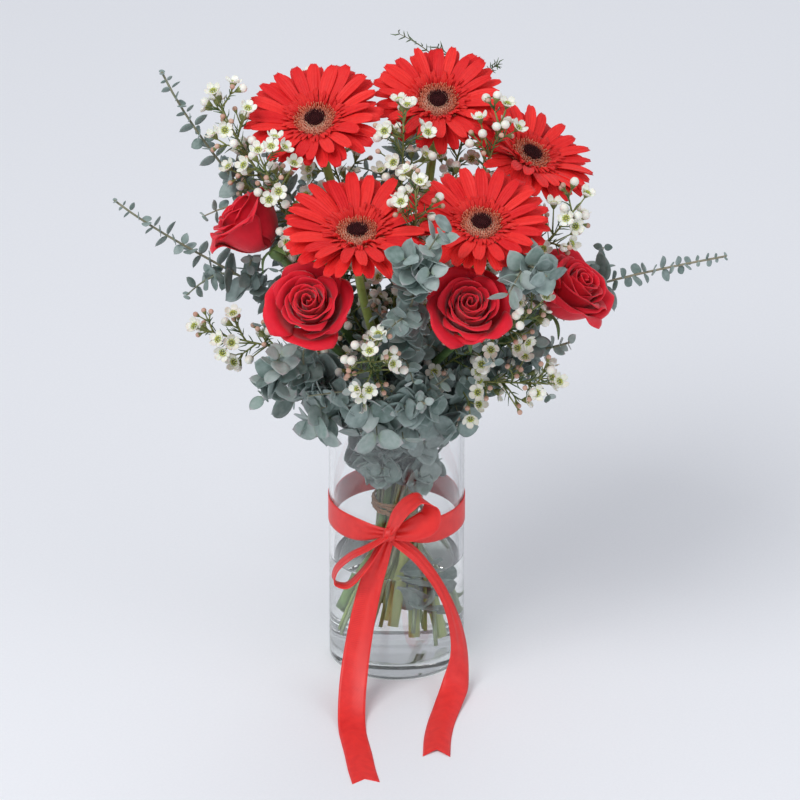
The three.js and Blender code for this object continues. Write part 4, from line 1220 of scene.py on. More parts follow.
@dataclass
class Ray:
    """One ray: its angle round the head, and how far out and up its three stations are."""

    angle: float
    middle: Pair
    tip: Pair
    half: float
    height: float
    root: float = RAY_ROOT

    @classmethod
    def laid(cls, layer: RayLayer, angle: float, reach: float, tilt: float, bend: float,
             length: float) -> "Ray":
        """Lays a ray as the frame's are: its tilt, its bend and its share of its full reach."""
        rise = layer.rise + tilt + bend * 0.6
        droop = layer.droop + tilt + bend
        inner = reach * length * 0.55
        outer = reach * length * 0.45
        out = RAY_ROOT + inner * cos(rise)
        up = layer.height + inner * sin(rise)
        tip = (out + outer * cos(droop), up + outer * sin(droop))
        return cls(angle, (out, up), tip, layer.half, layer.height)

    def corners(self) -> list[Vector]:
        """Returns a corner that the frame's solid has at the tip, from the head's place."""
        up = Vector((self.middle[1] - self.tip[1], 0, self.tip[0] - self.middle[0])).normalized()
        at = Vector((self.tip[0], self.half * 0.5, self.tip[1])) + up * SOLID_BLADE / 2
        return [Matrix.Rotation(self.angle, 4, "Z") @ at]

    def between(self, other: "Ray", share: float, draw: Draw) -> "Ray":
        """Returns a ray between this one and the next, with small differences of its own."""
        step = (other.angle - self.angle) % FULL_TURN
        long = draw.between(0.86, 1.02)
        sink = draw.between(-1.2, 0.8)

        def mix(a: Pair, b: Pair) -> Pair:
            """Returns a station between two."""
            out = a[0] + (b[0] - a[0]) * share
            up = a[1] + (b[1] - a[1]) * share
            return RAY_ROOT + (out - RAY_ROOT) * long, up + sink

        return Ray(self.angle + step * share, mix(self.middle, other.middle),
                   mix(self.tip, other.tip), self.half, self.height)

    def form(self, place: Matrix, draw: Draw) -> Form:
        """Gives the ray's blade.

        Args:
            place: the head's place.
            draw: gives its own small differences.

        Returns:
            The form.
        """
        spot = place @ Matrix.Rotation(self.angle, 4, "Z")
        root = Vector((self.root, 0, self.height))
        middle = Vector((self.middle[0], 0, self.middle[1]))
        tip = Vector((self.tip[0], 0, self.tip[1]))
        cup = draw.between(-0.12, 0.34)
        twist = draw.between(-0.34, 0.34)
        sway = draw.between(-1.8, 1.8)
        wide = min(self.half * draw.between(0.8, 1.0), 0.16 * (self.tip[0] - self.root))
        pleat = draw.between(0.25, 0.55)

        def form(s: float, t: float) -> Vector:
            """Returns the point at s along and t across."""
            share = s * (1 - 0.01 * (1 + cos(3 * pi * t)))
            spine = through(root, middle, tip, share)
            ahead = through(root, middle, tip, share + 0.02) - spine
            up = Vector((-ahead.z, 0, ahead.x)).normalized()
            if s < 0.68:
                outline = 0.36 + 0.64 * smooth_step(s / 0.68)
            else:
                outline = sqrt(max(1 - ((s - 0.68) / 0.335) ** 2, 0.0)) ** 0.85
            half = wide * outline
            lift = cup * half * t * t - pleat * cos(3 * pi * t) * outline
            turn = twist * s
            side = Vector((0, cos(turn), 0)) + up * sin(turn)
            local = spine + side * half * t + up * lift + Vector((0, sway * s * s, 0))
            return spot @ local

        return form


@dataclass
class Gerbera:
    """A gerbera: its stem and bracts, its rays, its ring of florets and its dark eye."""

    number: int
    head: Head
    stem: Stem
    place: Matrix
    finishes: Finishes
    floret_rings: tuple[tuple[float, int], ...] = ((7.6, 30), (9.2, 36), (10.9, 42), (12.6, 48),
                                                   (14.3, 52))
    short_rays: int = 84
    fringe: int = 110
    eye_radius: float = 7.2

    def _laid_rays(self, draw: Draw) -> list[list[Ray]]:
        """Finds how the frame's rays are laid."""
        shape = SolidShape(f"gerbera_{self.number}_rays", self.place)
        choices = [*((bend, length) for length in RAY_LENGTHS for bend in RAY_BENDS), (0, 0.3)]
        layers = []
        for layer in RAY_LAYERS:
            rays = []
            for index in range(RAYS_ROUND):
                angle = FULL_TURN * (index + layer.shift) / RAYS_ROUND + (draw() - 0.5) * 0.05
                reach = (self.head.radius - RAY_ROOT) * layer.length * (0.95 + 0.08 * draw())
                tilt = (draw() - 0.5) * 0.08
                ray = (shape.first(Ray.laid(layer, angle, reach, tilt, *choice)
                                   for choice in choices)
                       or Ray.laid(layer, angle, reach, tilt, 0, 0.6))
                # A ray that is cut short or stands up steeply is slim, so that it isn't a stub.
                rise = (ray.tip[1] - ray.middle[1]) / (ray.tip[0] - ray.middle[0])
                ray.half = min(ray.half * (0.6 if rise > 0.6 else 1),
                               0.004 * (ray.tip[0] - ray.root) ** 2)
                rays.append(ray)
            layers.append(rays)
        return layers

    def _rays(self, draw: Draw) -> None:
        """Makes the red rays: two full layers, a few behind, and the short ones round the eye."""
        own = Draw(500 + self.number)
        under, over, short = self._laid_rays(draw)
        sculpt = Sculpt()
        for level, rays in enumerate((under, over)):
            for ray, following in zip(rays, rays[1:] + rays[:1]):
                # The upper layer takes lighter tones than the under layer and the rays put between:
                # painted shade on the rays that lie lower in the head.
                sculpt.blade(ray.form(self.place, own), 12, 8, 0.3 * level + 0.7 * own())
                for share in (0.5,) if level else (0.34, 0.67):
                    between = ray.between(following, share + own.between(-0.09, 0.09), own)
                    sculpt.blade(between.form(self.place, own), 12, 8, own() * 0.8)
        for k in range(self.short_rays):
            share = k * RAYS_ROUND / self.short_rays
            near, after = short[int(share)], short[(int(share) + 1) % RAYS_ROUND]
            ray = near.between(after, share % 1, own)
            length = own.between(0.3, 1.0)
            ray.half = own.between(0.6, 1.5)
            ray.root = own.between(12.2, 14.6)
            ray.height = -4.6
            ray.middle = (ray.root + (ray.middle[0] - ray.root) * length, ray.middle[1])
            ray.tip = (ray.root + (ray.tip[0] - ray.root) * length, ray.tip[1] - 1.5 * length)
            sculpt.blade(ray.form(self.place, own), 7, 2, 0.3 + 0.7 * own())
        for k in range(self.fringe):
            angle = FULL_TURN * (k + 0.6 * own()) / self.fringe
            out = around(angle)
            root = out * own.between(14.2, 17.4) + Vector((0, 0, -3.8))
            reach, rise = own.between(2.0, 6.0), own.between(2.4, 4.8)
            line = [root, root + out * reach * 0.45 + Vector((0, 0, rise * 0.75)),
                    root + out * reach + Vector((0, 0, rise))]
            sculpt.rod([self.place @ point for point in line], [0.36, 0.36, 0.14], 4,
                       0.4 + 0.6 * own(), 1)
        sculpt.turned(self.place, [(0, -9.5), (9, -8.8), (12.5, -6.5), (12, -4.4), (0, -3.6)], 24)
        sculpt.piece(f"gerbera_{self.number}_petals", "gerbera_rays",
                     f"gerbera_{self.number}_rays", [self.finishes.ray, self.finishes.floret], 0.45)

    def _florets(self) -> None:
        """Makes the ring of thin florets, pale at their tips."""
        own = Draw(600 + self.number)
        sculpt = Sculpt()
        sculpt.turned(self.place, [(0, -4.2), (12, -4.2), (14.8, -3.6), (14.2, -2.2), (8, -0.5),
                                   (0, -0.5)], 28, 0.1)
        for radius, count in self.floret_rings:
            for k in range(count):
                angle = FULL_TURN * (k + 0.6 * own()) / count + radius
                out = around(angle)
                across = Vector((-out.y, out.x, 0)) * own.between(-0.5, 0.5)
                reach = own.between(0.4, 2.2)
                rise = own.between(3.0, 4.6) + 0.1 * (radius - 7.6)
                root = out * radius + Vector((0, 0, -1.3 - 0.3 * (radius - 7.6)))
                bend = root + out * 0.35 * reach + Vector((0, 0, 0.75 * rise))
                tip = root + out * reach + across + Vector((0, 0, rise))
                line = [self.place @ point for point in (root, bend, tip)]
                tone = min(1.0, max(0.0, (radius - 7.4) / 3.2))
                sculpt.rod(line, [0.3, 0.38, 0.2], 4, tone * (0.35 + 0.65 * own()))
        sculpt.piece(f"gerbera_{self.number}_ring", "gerbera_florets",
                     f"gerbera_{self.number}_florets", [self.finishes.floret])

    def _eye(self) -> None:
        """Makes the dark eye of closed buds, laid in the spirals of a seed head."""
        own = Draw(700 + self.number)
        sculpt = Sculpt()
        dome = [(0, -0.5), (6.0, -0.5), (6.4, 0.6), (5.4, 1.3), (3.2, 1.3), (0, 0.8)]
        sculpt.turned(self.place, dome, 24, 0.3)
        count = 120
        for k in range(count):
            share = sqrt((k + 0.5) / count)
            radius = self.eye_radius * share + own.between(-0.5, 0.6) * share**4
            angle = k * GOLDEN_ANGLE
            height = 1.0 + 0.9 * sin(pi * share) - 1.2 * max(share - 0.8, 0)
            foot = around(angle, radius, height)
            lean = Vector((foot.x * 0.07 * share, foot.y * 0.07 * share,
                           own.between(0.9, 1.3) + 1.2 * share**4))
            line = [self.place @ point for point in (foot, foot + lean * 0.6, foot + lean)]
            sculpt.rod(line, [0.5, 0.46, 0.18], 5, own() * (0.4 + 0.6 * share))
        sculpt.piece(f"gerbera_{self.number}_disc", "gerbera_eye", f"gerbera_{self.number}_eye",
                     [self.finishes.eye])

    def _stem(self) -> None:
        """Makes the stem, which opens into a cup of narrow bracts."""
        own = Draw(800 + self.number)
        sculpt = Sculpt()
        sculpt.stem(self.stem, 0.1, 14, own())
        sculpt.turned(self.place, [(0, -24), (3.2, -23), (4.4, -20), (7.8, -15), (10.2, -9.5),
                                   (0, -8.6)], 20, 0.5, 1)
        for ring, (low, high, radius, count) in enumerate(
                ((-21.5, -11.0, 10.0, 15), (-22.5, -15.0, 8.6, 13))):
            for k in range(count):
                angle = FULL_TURN * (k + 0.5 * ring + 0.2 * own()) / count
                spot = self.place @ Matrix.Rotation(angle, 4, "Z")

                def form(s: float, t: float, spot: Matrix = spot, low: float = low,
                         high: float = high, radius: float = radius) -> Vector:
                    """Returns the point at s along and t across."""
                    out = 4.4 + (radius - 4.4) * s + 1.5 * s * s
                    half = 1.5 * (1 - s) ** 0.6 + 0.05
                    return spot @ Vector((out, -half * t, low + (high - low) * s))

                sculpt.blade(form, 5, 2, own(), 1)
        sculpt.piece(f"gerbera_{self.number}_stalk", "gerbera_stem", self.stem.name,
                     [self.finishes.gerbera_stem, self.finishes.bract], 0.3)

    def build(self, draw: Draw) -> None:
        """Makes the gerbera, from the draw that the frame's rays were laid with."""
        self._rays(draw)
        self._florets()
        self._eye()
        self._stem()


# ---- Roses ----


@dataclass(frozen=True)
class PetalLayer:
    """A layer of the frame's petals."""

    count: int
    wide: float
    heights: tuple[float, ...]
    radii: tuple[float, ...]
    drop: float


PETAL_LAYERS = (
    PetalLayer(3, 1, (-12, 17), (8, 12.5), 3),
    PetalLayer(3, 1.15, (-15, 14), (8.5, 19.5), 4),
    PetalLayer(4, 0.86, (-22, -7, 9), (6, 24.5, 30), 7),
)
PETAL_LIFTS = (0, -1.5, 1.5, -3, -5, -8)
PETAL_TUCK = 1.7


@dataclass
class Petal:
    """One rose petal, wrapped round the bloom, with one edge tucked in and its rim rolled out.

    The root and the shoulder are how far out and up they are. The rim starts at the shoulder.
    """

    angle: float
    wide: float
    root: Pair
    shoulder: Pair
    opens: float
    flare: float
    rim: float
    roll_middle: float
    roll_side: float
    drop: float = 3.0
    tuck: float = PETAL_TUCK

    def form(self, place: Matrix, draw: Draw) -> Form:
        """Gives the petal's blade.

        Args:
            place: the bloom's place.
            draw: gives its own small differences.

        Returns:
            The form.
        """
        shoulder_at = 0.62
        reach = dist(self.root, self.shoulder)
        opens, flare = radians(self.opens), radians(self.flare + draw.between(-4, 4))
        start = Vector((sin(opens), cos(opens))) * reach
        end = Vector((sin(flare), cos(flare)))
        outward = Vector((end.y, -end.x))
        root, top = Vector(self.root), Vector(self.shoulder)
        rim = self.rim * draw.between(0.9, 1.12)
        middle = self.roll_middle * draw.between(0.8, 1.2)
        side = self.roll_side * draw.between(0.85, 1.15)
        skew = draw.between(-0.25, 0.25)
        wave = draw.between(0, FULL_TURN)
        ripple = 0.022 * rim

        def form(s: float, t: float) -> Vector:
            """Returns the point at s along and t across."""
            q = min(s / shoulder_at, 1.0)
            over = max((s - shoulder_at) / (1 - shoulder_at), 0.0)
            spread = 0.42 + 0.58 * smooth_step(q) - 0.34 * over * over
            turn = self.angle + t * self.wide * spread
            line = (root * (2 * q**3 - 3 * q * q + 1) + start * (q**3 - 2 * q * q + q)
                    + top * (3 * q * q - 2 * q**3) + end * reach * (q**3 - q * q))
            tip = exp(-(((t - skew) / 0.34) ** 2))
            roll = side + (middle - side) * tip
            bend = rim / roll
            line = line + end * (bend * sin(roll * over)) + outward * (
                bend * (1 - cos(roll * over)))
            out = line.x + t * self.tuck * s + ripple * sin(3 * pi * t + wave) * over
            height = line.y - self.drop * abs(t) ** 2.6 * q**3
            height += 1.1 * ripple * cos(2.2 * pi * t + wave) * over
            return place @ around(turn, out, height)

        return form


@dataclass
class Rose:
    """A rose: its stem with its hip and sepals, and its bloom of wrapped petals."""

    number: int
    stem: Stem
    place: Matrix
    finishes: Finishes

    def _laid_petals(self, draw: Draw) -> list[list[Pair]]:
        """Finds the angle and lift that each of the frame's petals has."""
        shape = SolidShape(f"rose_{self.number}_bloom", self.place)
        layers = []
        for layer in PETAL_LAYERS:
            laid = []
            for k in range(layer.count):
                angle = FULL_TURN * (k + draw() * 0.1) / layer.count + layer.wide
                lift = next((lift for lift in PETAL_LIFTS
                             if shape.holds(self._corners(layer, angle, lift))), None)
                if lift is None:
                    LOG.info("rose %d: a petal not found", self.number)
                laid.append((angle, lift or 0))
            layers.append(laid)
        return layers

    @staticmethod
    def _corners(layer: PetalLayer, angle: float, lift: float) -> Iterator[Vector]:
        """Yields corners that the frame's solid has at a petal's rim, from the bloom's place."""
        for side in (1, 0, -1):
            turn = angle + side * layer.wide * 0.75
            out = layer.radii[-1] + side * PETAL_TUCK
            at = around(turn, out, layer.heights[-1] - abs(side) * layer.drop + lift)
            up = Vector((-cos(turn), -sin(turn), 0.3)).normalized()
            yield from (at + up * half for half in (SOLID_BLADE / 2, -SOLID_BLADE / 2))

    def _bloom(self, draw: Draw) -> None:
        """Makes the bloom, from the draw that the frame's petals were laid with."""
        own = Draw(900 + self.number)
        inner, middle, outer = self._laid_petals(draw)
        sculpt = Sculpt()
        petals = []
        for k in range(5):
            radius = 1.4 + 1.4 * k
            top = (radius, 12.6 + own.between(-0.5, 0.5))
            petals.append(Petal(k * GOLDEN_ANGLE, 1.8, (radius * 0.8 + 1, -8), top, 4, -6, 4.2,
                                0.15, 0.5, 1.2, 1.3))
        for angle, lift in inner:
            petals += [
                Petal(angle, 1.2, (8, -12), (10.9, 12.4 + lift), 26, 2, 5.0, 0.35, 0.7),
                Petal(angle + 1.0, 1.25, (7, -11), (8.7, 12.4 + lift), 18, -3, 4.6, 0.25, 0.6, 2.0,
                      1.5)]
        for angle, lift in middle:
            petals += [
                Petal(angle, 1.22, (8.5, -15), (17, 8.6 + lift), 48, 10, 7.2, 0.6, 1.25, 3.6, 2.0),
                Petal(angle + 1.1, 1.15, (8.5, -14), (13.8, 9.9 + lift), 36, 5, 5.6, 0.45, 1.0, 3.0,
                      2.0)]
        for k, (angle, lift) in enumerate(outer):
            petals.append(Petal(angle, 1.06, (6, -22), (23.0, 2.2 + lift), 78, 22, 10.8, 0.75, 1.7,
                                3.6, 2.4))
            if k % 2:
                petals.append(Petal(angle + 0.8, 0.9, (6, -20), (20.2, 5.2 + lift), 66, 14, 8.6,
                                    0.6, 1.5, 4.2, 2.2))
        for petal in petals:
            sculpt.blade(petal.form(self.place, own), 16, 14, own())
        sculpt.turned(self.place, [(0, -25), (6, -23), (11.5, -15), (15, -7), (14.5, -1), (10, 3),
                                   (0, 4)], 24, 0.1)
        sculpt.piece(f"rose_{self.number}_petals", "rose_bloom", f"rose_{self.number}_bloom",
                     [self.finishes.rose_petal], 0.5)

    def _stem(self) -> None:
        """Makes the stem, the hip and the five sepals that hang back from it."""
        own = Draw(950 + self.number)
        sculpt = Sculpt()
        sculpt.stem(self.stem, 0, 12, own())
        sculpt.turned(self.place, [(0, -38), (3.2, -37), (4.6, -34.5), (5.8, -31), (5.2, -27.5),
                                   (0, -25.6)], 16, 0.6)
        for k in range(5):
            spot = self.place @ Matrix.Rotation(FULL_TURN * k / 5, 4, "Z")
            curl = own.between(2, 5)

            def form(s: float, t: float, spot: Matrix = spot, curl: float = curl) -> Vector:
                """Returns the point at s along and t across."""
                half = 3.0 * (1 - s) ** 0.7 * (0.5 + s) + 0.04
                height = -27.5 + 1.5 * sin(pi * s) - (3 + curl) * s * s
                return spot @ Vector((3.5 + 17 * s, half * t, height + 0.4 * t * t))

            sculpt.blade(form, 8, 4, own())
        sculpt.piece(f"rose_{self.number}_stalk", "rose_stem", self.stem.name,
                     [self.finishes.rose_stem])

    def build(self, draw: Draw) -> None:
        """Makes the rose, from the draw that the frame's petals were laid with."""
        self._bloom(draw)
        self._stem()


# ---- Sprays ----


@dataclass
class Growth:
    """A spray in the making: its stem, what it keeps out of, its mesh and its own draw."""

    stem: Stem
    finishes: Finishes
    obstacles: Obstacles
    seed: int = 0
    sculpt: Sculpt = field(default_factory=Sculpt)
    own: Draw = field(init=False)

    def __post_init__(self) -> None:
        """Starts the spray's own draw."""
        self.own = Draw(self.seed + self.stem.index)


# ---- Eucalyptus ----

FAR_SPRAYS = (0, 1, 2)
FAR_LEAF_SHARE = 0.66
FAR_LEAF_TILTS = (0.15, 0.5)
FAR_LEAF_PITCH = 7.0
LEAF_LENGTH = 21.0
LEAF_PITCH = 26.0
LEAF_SHRINKS = (1, 0.85, 0.7)
LEAF_TURNS = (0, 0.35, -0.35, 0.8, -0.8)
LEAF_TILTS = (0.45, 0.8, 0.1, 1.05)
# Where pale young shoots end that stand out in front of the heads, by the spray's number.
CROWN_ENDS = {
    3: ((32, -126, 402), (6, -136, 384), (24, -134, 372)),
    4: ((80, -126, 352), (107, -118, 362)),
    5: ((-84, -86, 285), (-97, -68, 243)),
}


@dataclass
class Leaf:
    """One round leaf on its stem."""

    at: Vector
    along: Vector
    angle: float
    tilt: float
    length: float
    roll: float = 0.0
    slim: float = 1.0

    @property
    def place(self) -> Matrix:
        """Where the leaf is: X out along it, Z off its upper side."""
        out = leaning(self.along, self.angle, self.tilt)
        return placement(self.at, out, self.along) @ Matrix.Rotation(self.roll, 4, "X")

    def corners(self) -> list[Vector]:
        """Returns corners that the frame's solid has at the leaf's tip."""
        up = Vector((1, 0, self.length * 0.5)).normalized()
        at = [Vector((self.length, side * self.length * 0.24, -0.5)) for side in (1, -1)]
        return [self.place @ (point + up * half) for point in at
                for half in (SOLID_BLADE / 2, -SOLID_BLADE / 2)]

    def outline(self) -> list[Vector]:
        """Returns points at the leaf's edge."""
        rim = ((1, 0), (0.55, 0.45), (0.55, -0.45))
        return [self.place @ Vector((self.length * out, self.length * side, 0.3))
                for out, side in rim]

    def form(self, draw: Draw) -> Form:
        """Gives the leaf's blade.

        Args:
            draw: gives its own small differences.

        Returns:
            The form.
        """
        place = self.place
        length = self.length
        fold = draw.between(0.04, 0.22)
        curl = draw.between(-0.10, 0.16)
        wide = draw.between(0.44, 0.52) * self.slim

        def form(s: float, t: float) -> Vector:
            """Returns the point at s along and t across."""
            half = length * wide * sin(pi * min(s, 0.999) ** 0.84) ** 0.66
            lift = fold * half * abs(t) ** 1.5 + curl * length * (s * s - 0.3 * s)
            point = 0.035 * length * (1 - abs(t)) ** 2 * s**6
            return place @ Vector((0.5 + length * 0.98 * s + point, half * t, lift))

        return form


@dataclass
class EucalyptusSpray(Growth):
    """A spray of round grey-green leaves in pairs, down its whole stem, with side shoots."""

    seed: int = 1000
    far: bool = False
    leafy_from: float = 150.0
    shoots_from: float = 222.0
    inner_room: float = 45.2
    lowest: float = 208.0
    collar: tuple[float, ...] = (209.0, 224.0, 240.0)
    inside: tuple[float, ...] = (158.0, 180.0)
    # Sprays whose collar shoots reach further, with larger leaves that are mostly pale: painted
    # light on leaves that lie in shade.
    wide_painted_light_collars: tuple[int, ...] = (5, 6)
    outer_room: float = 52.0
    wet_stems: tuple[int, ...] = (10, 11)

    def _blocked(self, leaf: Leaf) -> bool:
        """Returns whether an added leaf would cut a flower, a stem, the vase or the ribbon."""
        points = leaf.outline()
        outer_room = self.outer_room if leaf.at.z > VASE_HEIGHT else inf
        if any(self.inner_room < hypot(point.x, point.y) < outer_room for point in points
               if point.z < VASE_HEIGHT + 2):
            return True
        inside = leaf.place @ Vector((leaf.length * 0.6, 0, 0.2))
        return (any(self.obstacles.crossed(leaf.at, point) for point in points)
                or any(self.obstacles.touched(point, self.stem) for point in (*points, inside)))

    def _laid(self, draw: Draw) -> None:
        """Adds the leaves that the frame has, found by the draw, and pairs between them."""
        own = self.own
        shape = SolidShape(self.stem.name)
        leafy = EUCALYPTUS[self.stem.index].leafy
        back = 1.0
        pair = 0
        while back < leafy:
            at, along = self.stem.station(back)
            share = FAR_LEAF_SHARE if self.far else 1
            size = share * min(1, 0.36 + back / 110) * (0.88 + 0.24 * draw())
            first = (pair % 2) * (pi / 2) + draw() * 0.4
            for side in (0, pi):
                leaf = shape.first(
                    Leaf(at, along, first + side + turn, tilt, LEAF_LENGTH * size * shrink)
                    for shrink in LEAF_SHRINKS for turn in LEAF_TURNS
                    for tilt in (FAR_LEAF_TILTS if self.far else LEAF_TILTS))
                if leaf:
                    finish = self._finish(back)
                    leaf.roll = own.between(0.5, 0.95) * (1 if side else -1) if self.far else 0.0
                    leaf.slim = 0.8 if finish or self.far else 1.0
                    self.sculpt.blade(leaf.form(own), 9, 6, own(), finish)
            step = LEAF_PITCH * (0.5 + 0.5 * min(1, back / 80))
            parts = round(step / FAR_LEAF_PITCH) if self.far else 2 if step < 18 else 3
            for k in range(1, parts):
                self._pair(self.stem.station(back + step * k / parts), first + k * pi / 2,
                           LEAF_LENGTH * size * 0.86, self._finish(back))
            back += step
            pair += 1
        self._lower(back)

    def _finish(self, back: float) -> int:
        """Returns the leaf finish at a way back from the tip: young leaves are lilac-grey."""
        return 2 if back < 24 and not self.far else 0

    def _lower(self, back: float) -> None:
        """Adds pairs from a way back down the rest of the stem, into the mouth of the vase."""
        own = self.own
        pair = self.stem.index
        while True:
            station = self.stem.station(back)
            if station[0].z < self.leafy_from:
                return
            pair += 1
            size = own.between(0.75, 1.15)
            self._pair(station, pair * pi / 2 + own.between(-0.5, 0.5), LEAF_LENGTH * size,
                       loose=1.0)
            back += own.between(9, 14)

    def _pair(self, station: tuple[Vector, Vector], first: float, length: float, finish: int = 0,
              loose: float = 0.35) -> None:
        """Adds a pair of leaves where there is room.

        Args:
            station: their place on the stem and the stem's direction there.
            first: the first one's angle about the stem.
            length: about how long they are.
            finish: the number of their finish.
            loose: how loosely they are turned about their own length.
        """
        own = self.own
        at, along = station
        for side in (0, pi):
            for turn, shrink in ((0, 1), (0.5, 1), (-0.5, 1), (0.9, 0.8), (-0.9, 0.8), (0, 0.6)):
                if self.far:
                    tilt = own.between(0.0, 0.25)
                    roll = own.between(0.5, 0.95) * (1 if side else -1)
                else:
                    tilt = own.between(0.4 - loose, 0.6 + loose / 2)
                    roll = own.between(-loose, loose)
                leaf = Leaf(at, along, first + side + turn + own.between(-0.15, 0.15), tilt,
                            length * own.between(0.85, 1.1) * shrink, roll,
                            0.8 if finish or self.far else 1.0)
                if not self._blocked(leaf):
                    self.sculpt.blade(leaf.form(own), 8, 4, own(), finish)
                    break

    def _shoot(self, root: Vector, end: Vector, along: Vector, leaf: float = 19.0,
               taper: float = 0.1, young: float = 0.6) -> None:
        """Adds a side shoot with its own pairs of leaves.

        Args:
            root: where it leaves the stem.
            end: where it ends.
            along: the stem's direction at its root.
            leaf: the length of its leaves.
            taper: how much smaller each pair is than the one before.
            young: how much of it takes the pale young-leaf finish: young leaves, and on the wide
                collars painted light on low leaves that lie in shade.
        """
        own = self.own
        if self.obstacles.crossed(root, end):
            return
        length = (end - root).length
        bend = root + along * length * 0.45
        points = [through(root, (root + end) * 0.3 + bend * 0.4, end, k / 6, 0.5) for k in range(7)]
        self.sculpt.rod(points, [1.0 - 0.08 * k for k in range(7)], 5, own(), 1)
        for k in range(1, 7):
            way = (points[k] - points[k - 1]).normalized()
            self._pair((points[k], way), k * pi / 2, leaf * (1 - taper * k),
                       2 if k > 6 - 5 * young and own() < young else 0, 0.5)

    def _shoots(self) -> None:
        """Adds the side shoots, along the part of the stem that stands in the bunch."""
        own = self.own
        back = 64.0 if self.far else 38.0
        turn = own() * FULL_TURN
        while True:
            root, along = self.stem.station(back)
            if root.z < self.shoots_from:
                return
            turn += GOLDEN_ANGLE
            out = side_of(along, turn)
            end = root + (out * 0.8 + along * 0.6) * own.between(30, 46)
            if end.z > self.lowest and (not self.far or back > 105):
                self._shoot(root, end, along)
            back += own.between(17, 24)

    def _collar(self) -> None:
        """Adds short shoots of large leaves, some inside the vase and some out over its rim."""
        own = self.own
        for height in self.inside + self.collar:
            back = next((back for back in range(20, 300, 3)
                         if self.stem.station(back)[0].z < height), None)
            if back is None:
                return
            root, along = self.stem.station(back)
            out = Vector((root.x, root.y, 0)).normalized()
            if height < VASE_HEIGHT:
                out = Matrix.Rotation(own.between(-0.9, 0.9), 3, "Z") @ out
                end = root + out * own.between(9, 17) + Vector((0, 0, own.between(-6, 8)))
                self._shoot(root, end, along, 21, 0.03, 0.2)
            elif root.y < 12:
                wide = self.stem.index in self.wide_painted_light_collars
                for turn in (-0.5, 0.5):
                    way = Matrix.Rotation(turn + own.between(-0.3, 0.3), 3, "Z") @ out
                    reach = own.between(50, 66) + 17 * wide - hypot(root.x, root.y)
                    end = root + way * max(reach, 16) + Vector((0, 0, own.between(-9, 5)))
                    if end.z > self.lowest - 3:
                        # On the wide collars most leaves take the pale young-leaf finish: painted
                        # light, lighter leaves where these low leaves lie in shade.
                        self._shoot(root, end, along, 24 + 3 * wide, 0.04, 0.7 if wide else 0.2)

    def _wet(self) -> None:
        """Adds the few leaves that were left on some stems under the water."""
        own = self.own
        for k in range(3):
            at = self.stem.bundle_point(WATER_LEVEL - 12 - 10 * k)
            along = (self.stem.bundle_point(WATER_LEVEL) - at).normalized()
            self._pair((at, along), k * pi / 2 + own(), own.between(19, 25), loose=1.0)

    def build(self, draw: Draw) -> None:
        """Makes the spray, from the draw that the frame's leaves were laid with."""
        self._laid(draw)
        if self.stem.index in self.wet_stems:
            self._wet()
        if not self.far:
            self._collar()
        self.sculpt.stem(self.stem, 0.45, 8, self.own(), 1)
        self._shoots()
        root, along = self.stem.station(8.0)
        for end in CROWN_ENDS.get(self.stem.index, ()):
            self._shoot(root, Vector(end), along, 22, 0.05, 0.8)
        wears = self.finishes
        self.sculpt.piece(f"{self.stem.name}_spray", "eucalyptus", self.stem.name,
                          [wears.eucalyptus, wears.eucalyptus_stem, wears.young_leaf], 0.35)


# ---- Waxflower ----

FLOWER_RADIUS = 6.8
BUD_RADIUS = 3.4
SMALL_BUD_RADIUS = 2.0
END_PITCH = 9.0
END_SHRINKS = (1, 0.75, 0.55)
END_TURNS = (0, 0.6, -0.6, 1.2, -1.2, 2.2)


class End(Enum):
    """What a stalk of the waxflower ends in."""

    FLOWER = "flower"
    BUD = "bud"
    SMALL_BUD = "small"
    NEEDLE = "needle"


SPRAY_ENDS = (End.FLOWER, End.BUD, End.NEEDLE, End.FLOWER, End.SMALL_BUD, End.BUD)
# Where thin twigs end that stand up behind the heads, by the spray's number.
TWIG_ENDS = {11: ((74, 88, 436), (2, 76, 466), (30, 84, 452))}


class WaxPart(IntEnum):
    """The finishes of a waxflower spray, in the order that its piece wears them."""

    STALK = 0
    PETAL = 1
    CENTRE = 2
    SMALL_BUD = 3
    NEEDLE = 4


@dataclass
class Stalk:
    """One stalk of a spray: where it leaves the stem and how it goes."""

    kind: End
    at: Vector
    along: Vector
    angle: float
    tilt: float
    reach: float

    @property
    def out(self) -> Vector:
        """The stalk's direction."""
        return leaning(self.along, self.angle, self.tilt)

    @property
    def tip(self) -> Vector:
        """Where the stalk ends."""
        return self.at + self.out * self.reach

    @property
    def axis(self) -> Vector:
        """The way that a flower on it faces."""
        return (self.out + Vector((0, -0.35, 0.5))).normalized()

    def corners(self) -> list[Vector]:
        """Returns corners that the frame's solid has at the stalk's end."""
        if self.kind is End.FLOWER:
            place = head_placement(self.tip, self.axis, 0)
            return [place @ around(FULL_TURN * k / 5, FLOWER_RADIUS, 0.3) for k in range(5)]
        if self.kind is End.NEEDLE:
            turn = Vector((0, 1, 0)).rotation_difference(self.out)
            angles = [FULL_TURN * k / 3 for k in range(3)]
            return [self.tip + turn @ Vector((0.3 * sin(a), 0, 0.3 * cos(a))) for a in angles]
        radius = BUD_RADIUS if self.kind is End.BUD else SMALL_BUD_RADIUS
        ways = [Vector(way) * side for way in ((1, 0, 0), (0, 1, 0), (0, 0, 1)) for side in (1, -1)]
        return [self.tip + way * radius for way in ways]


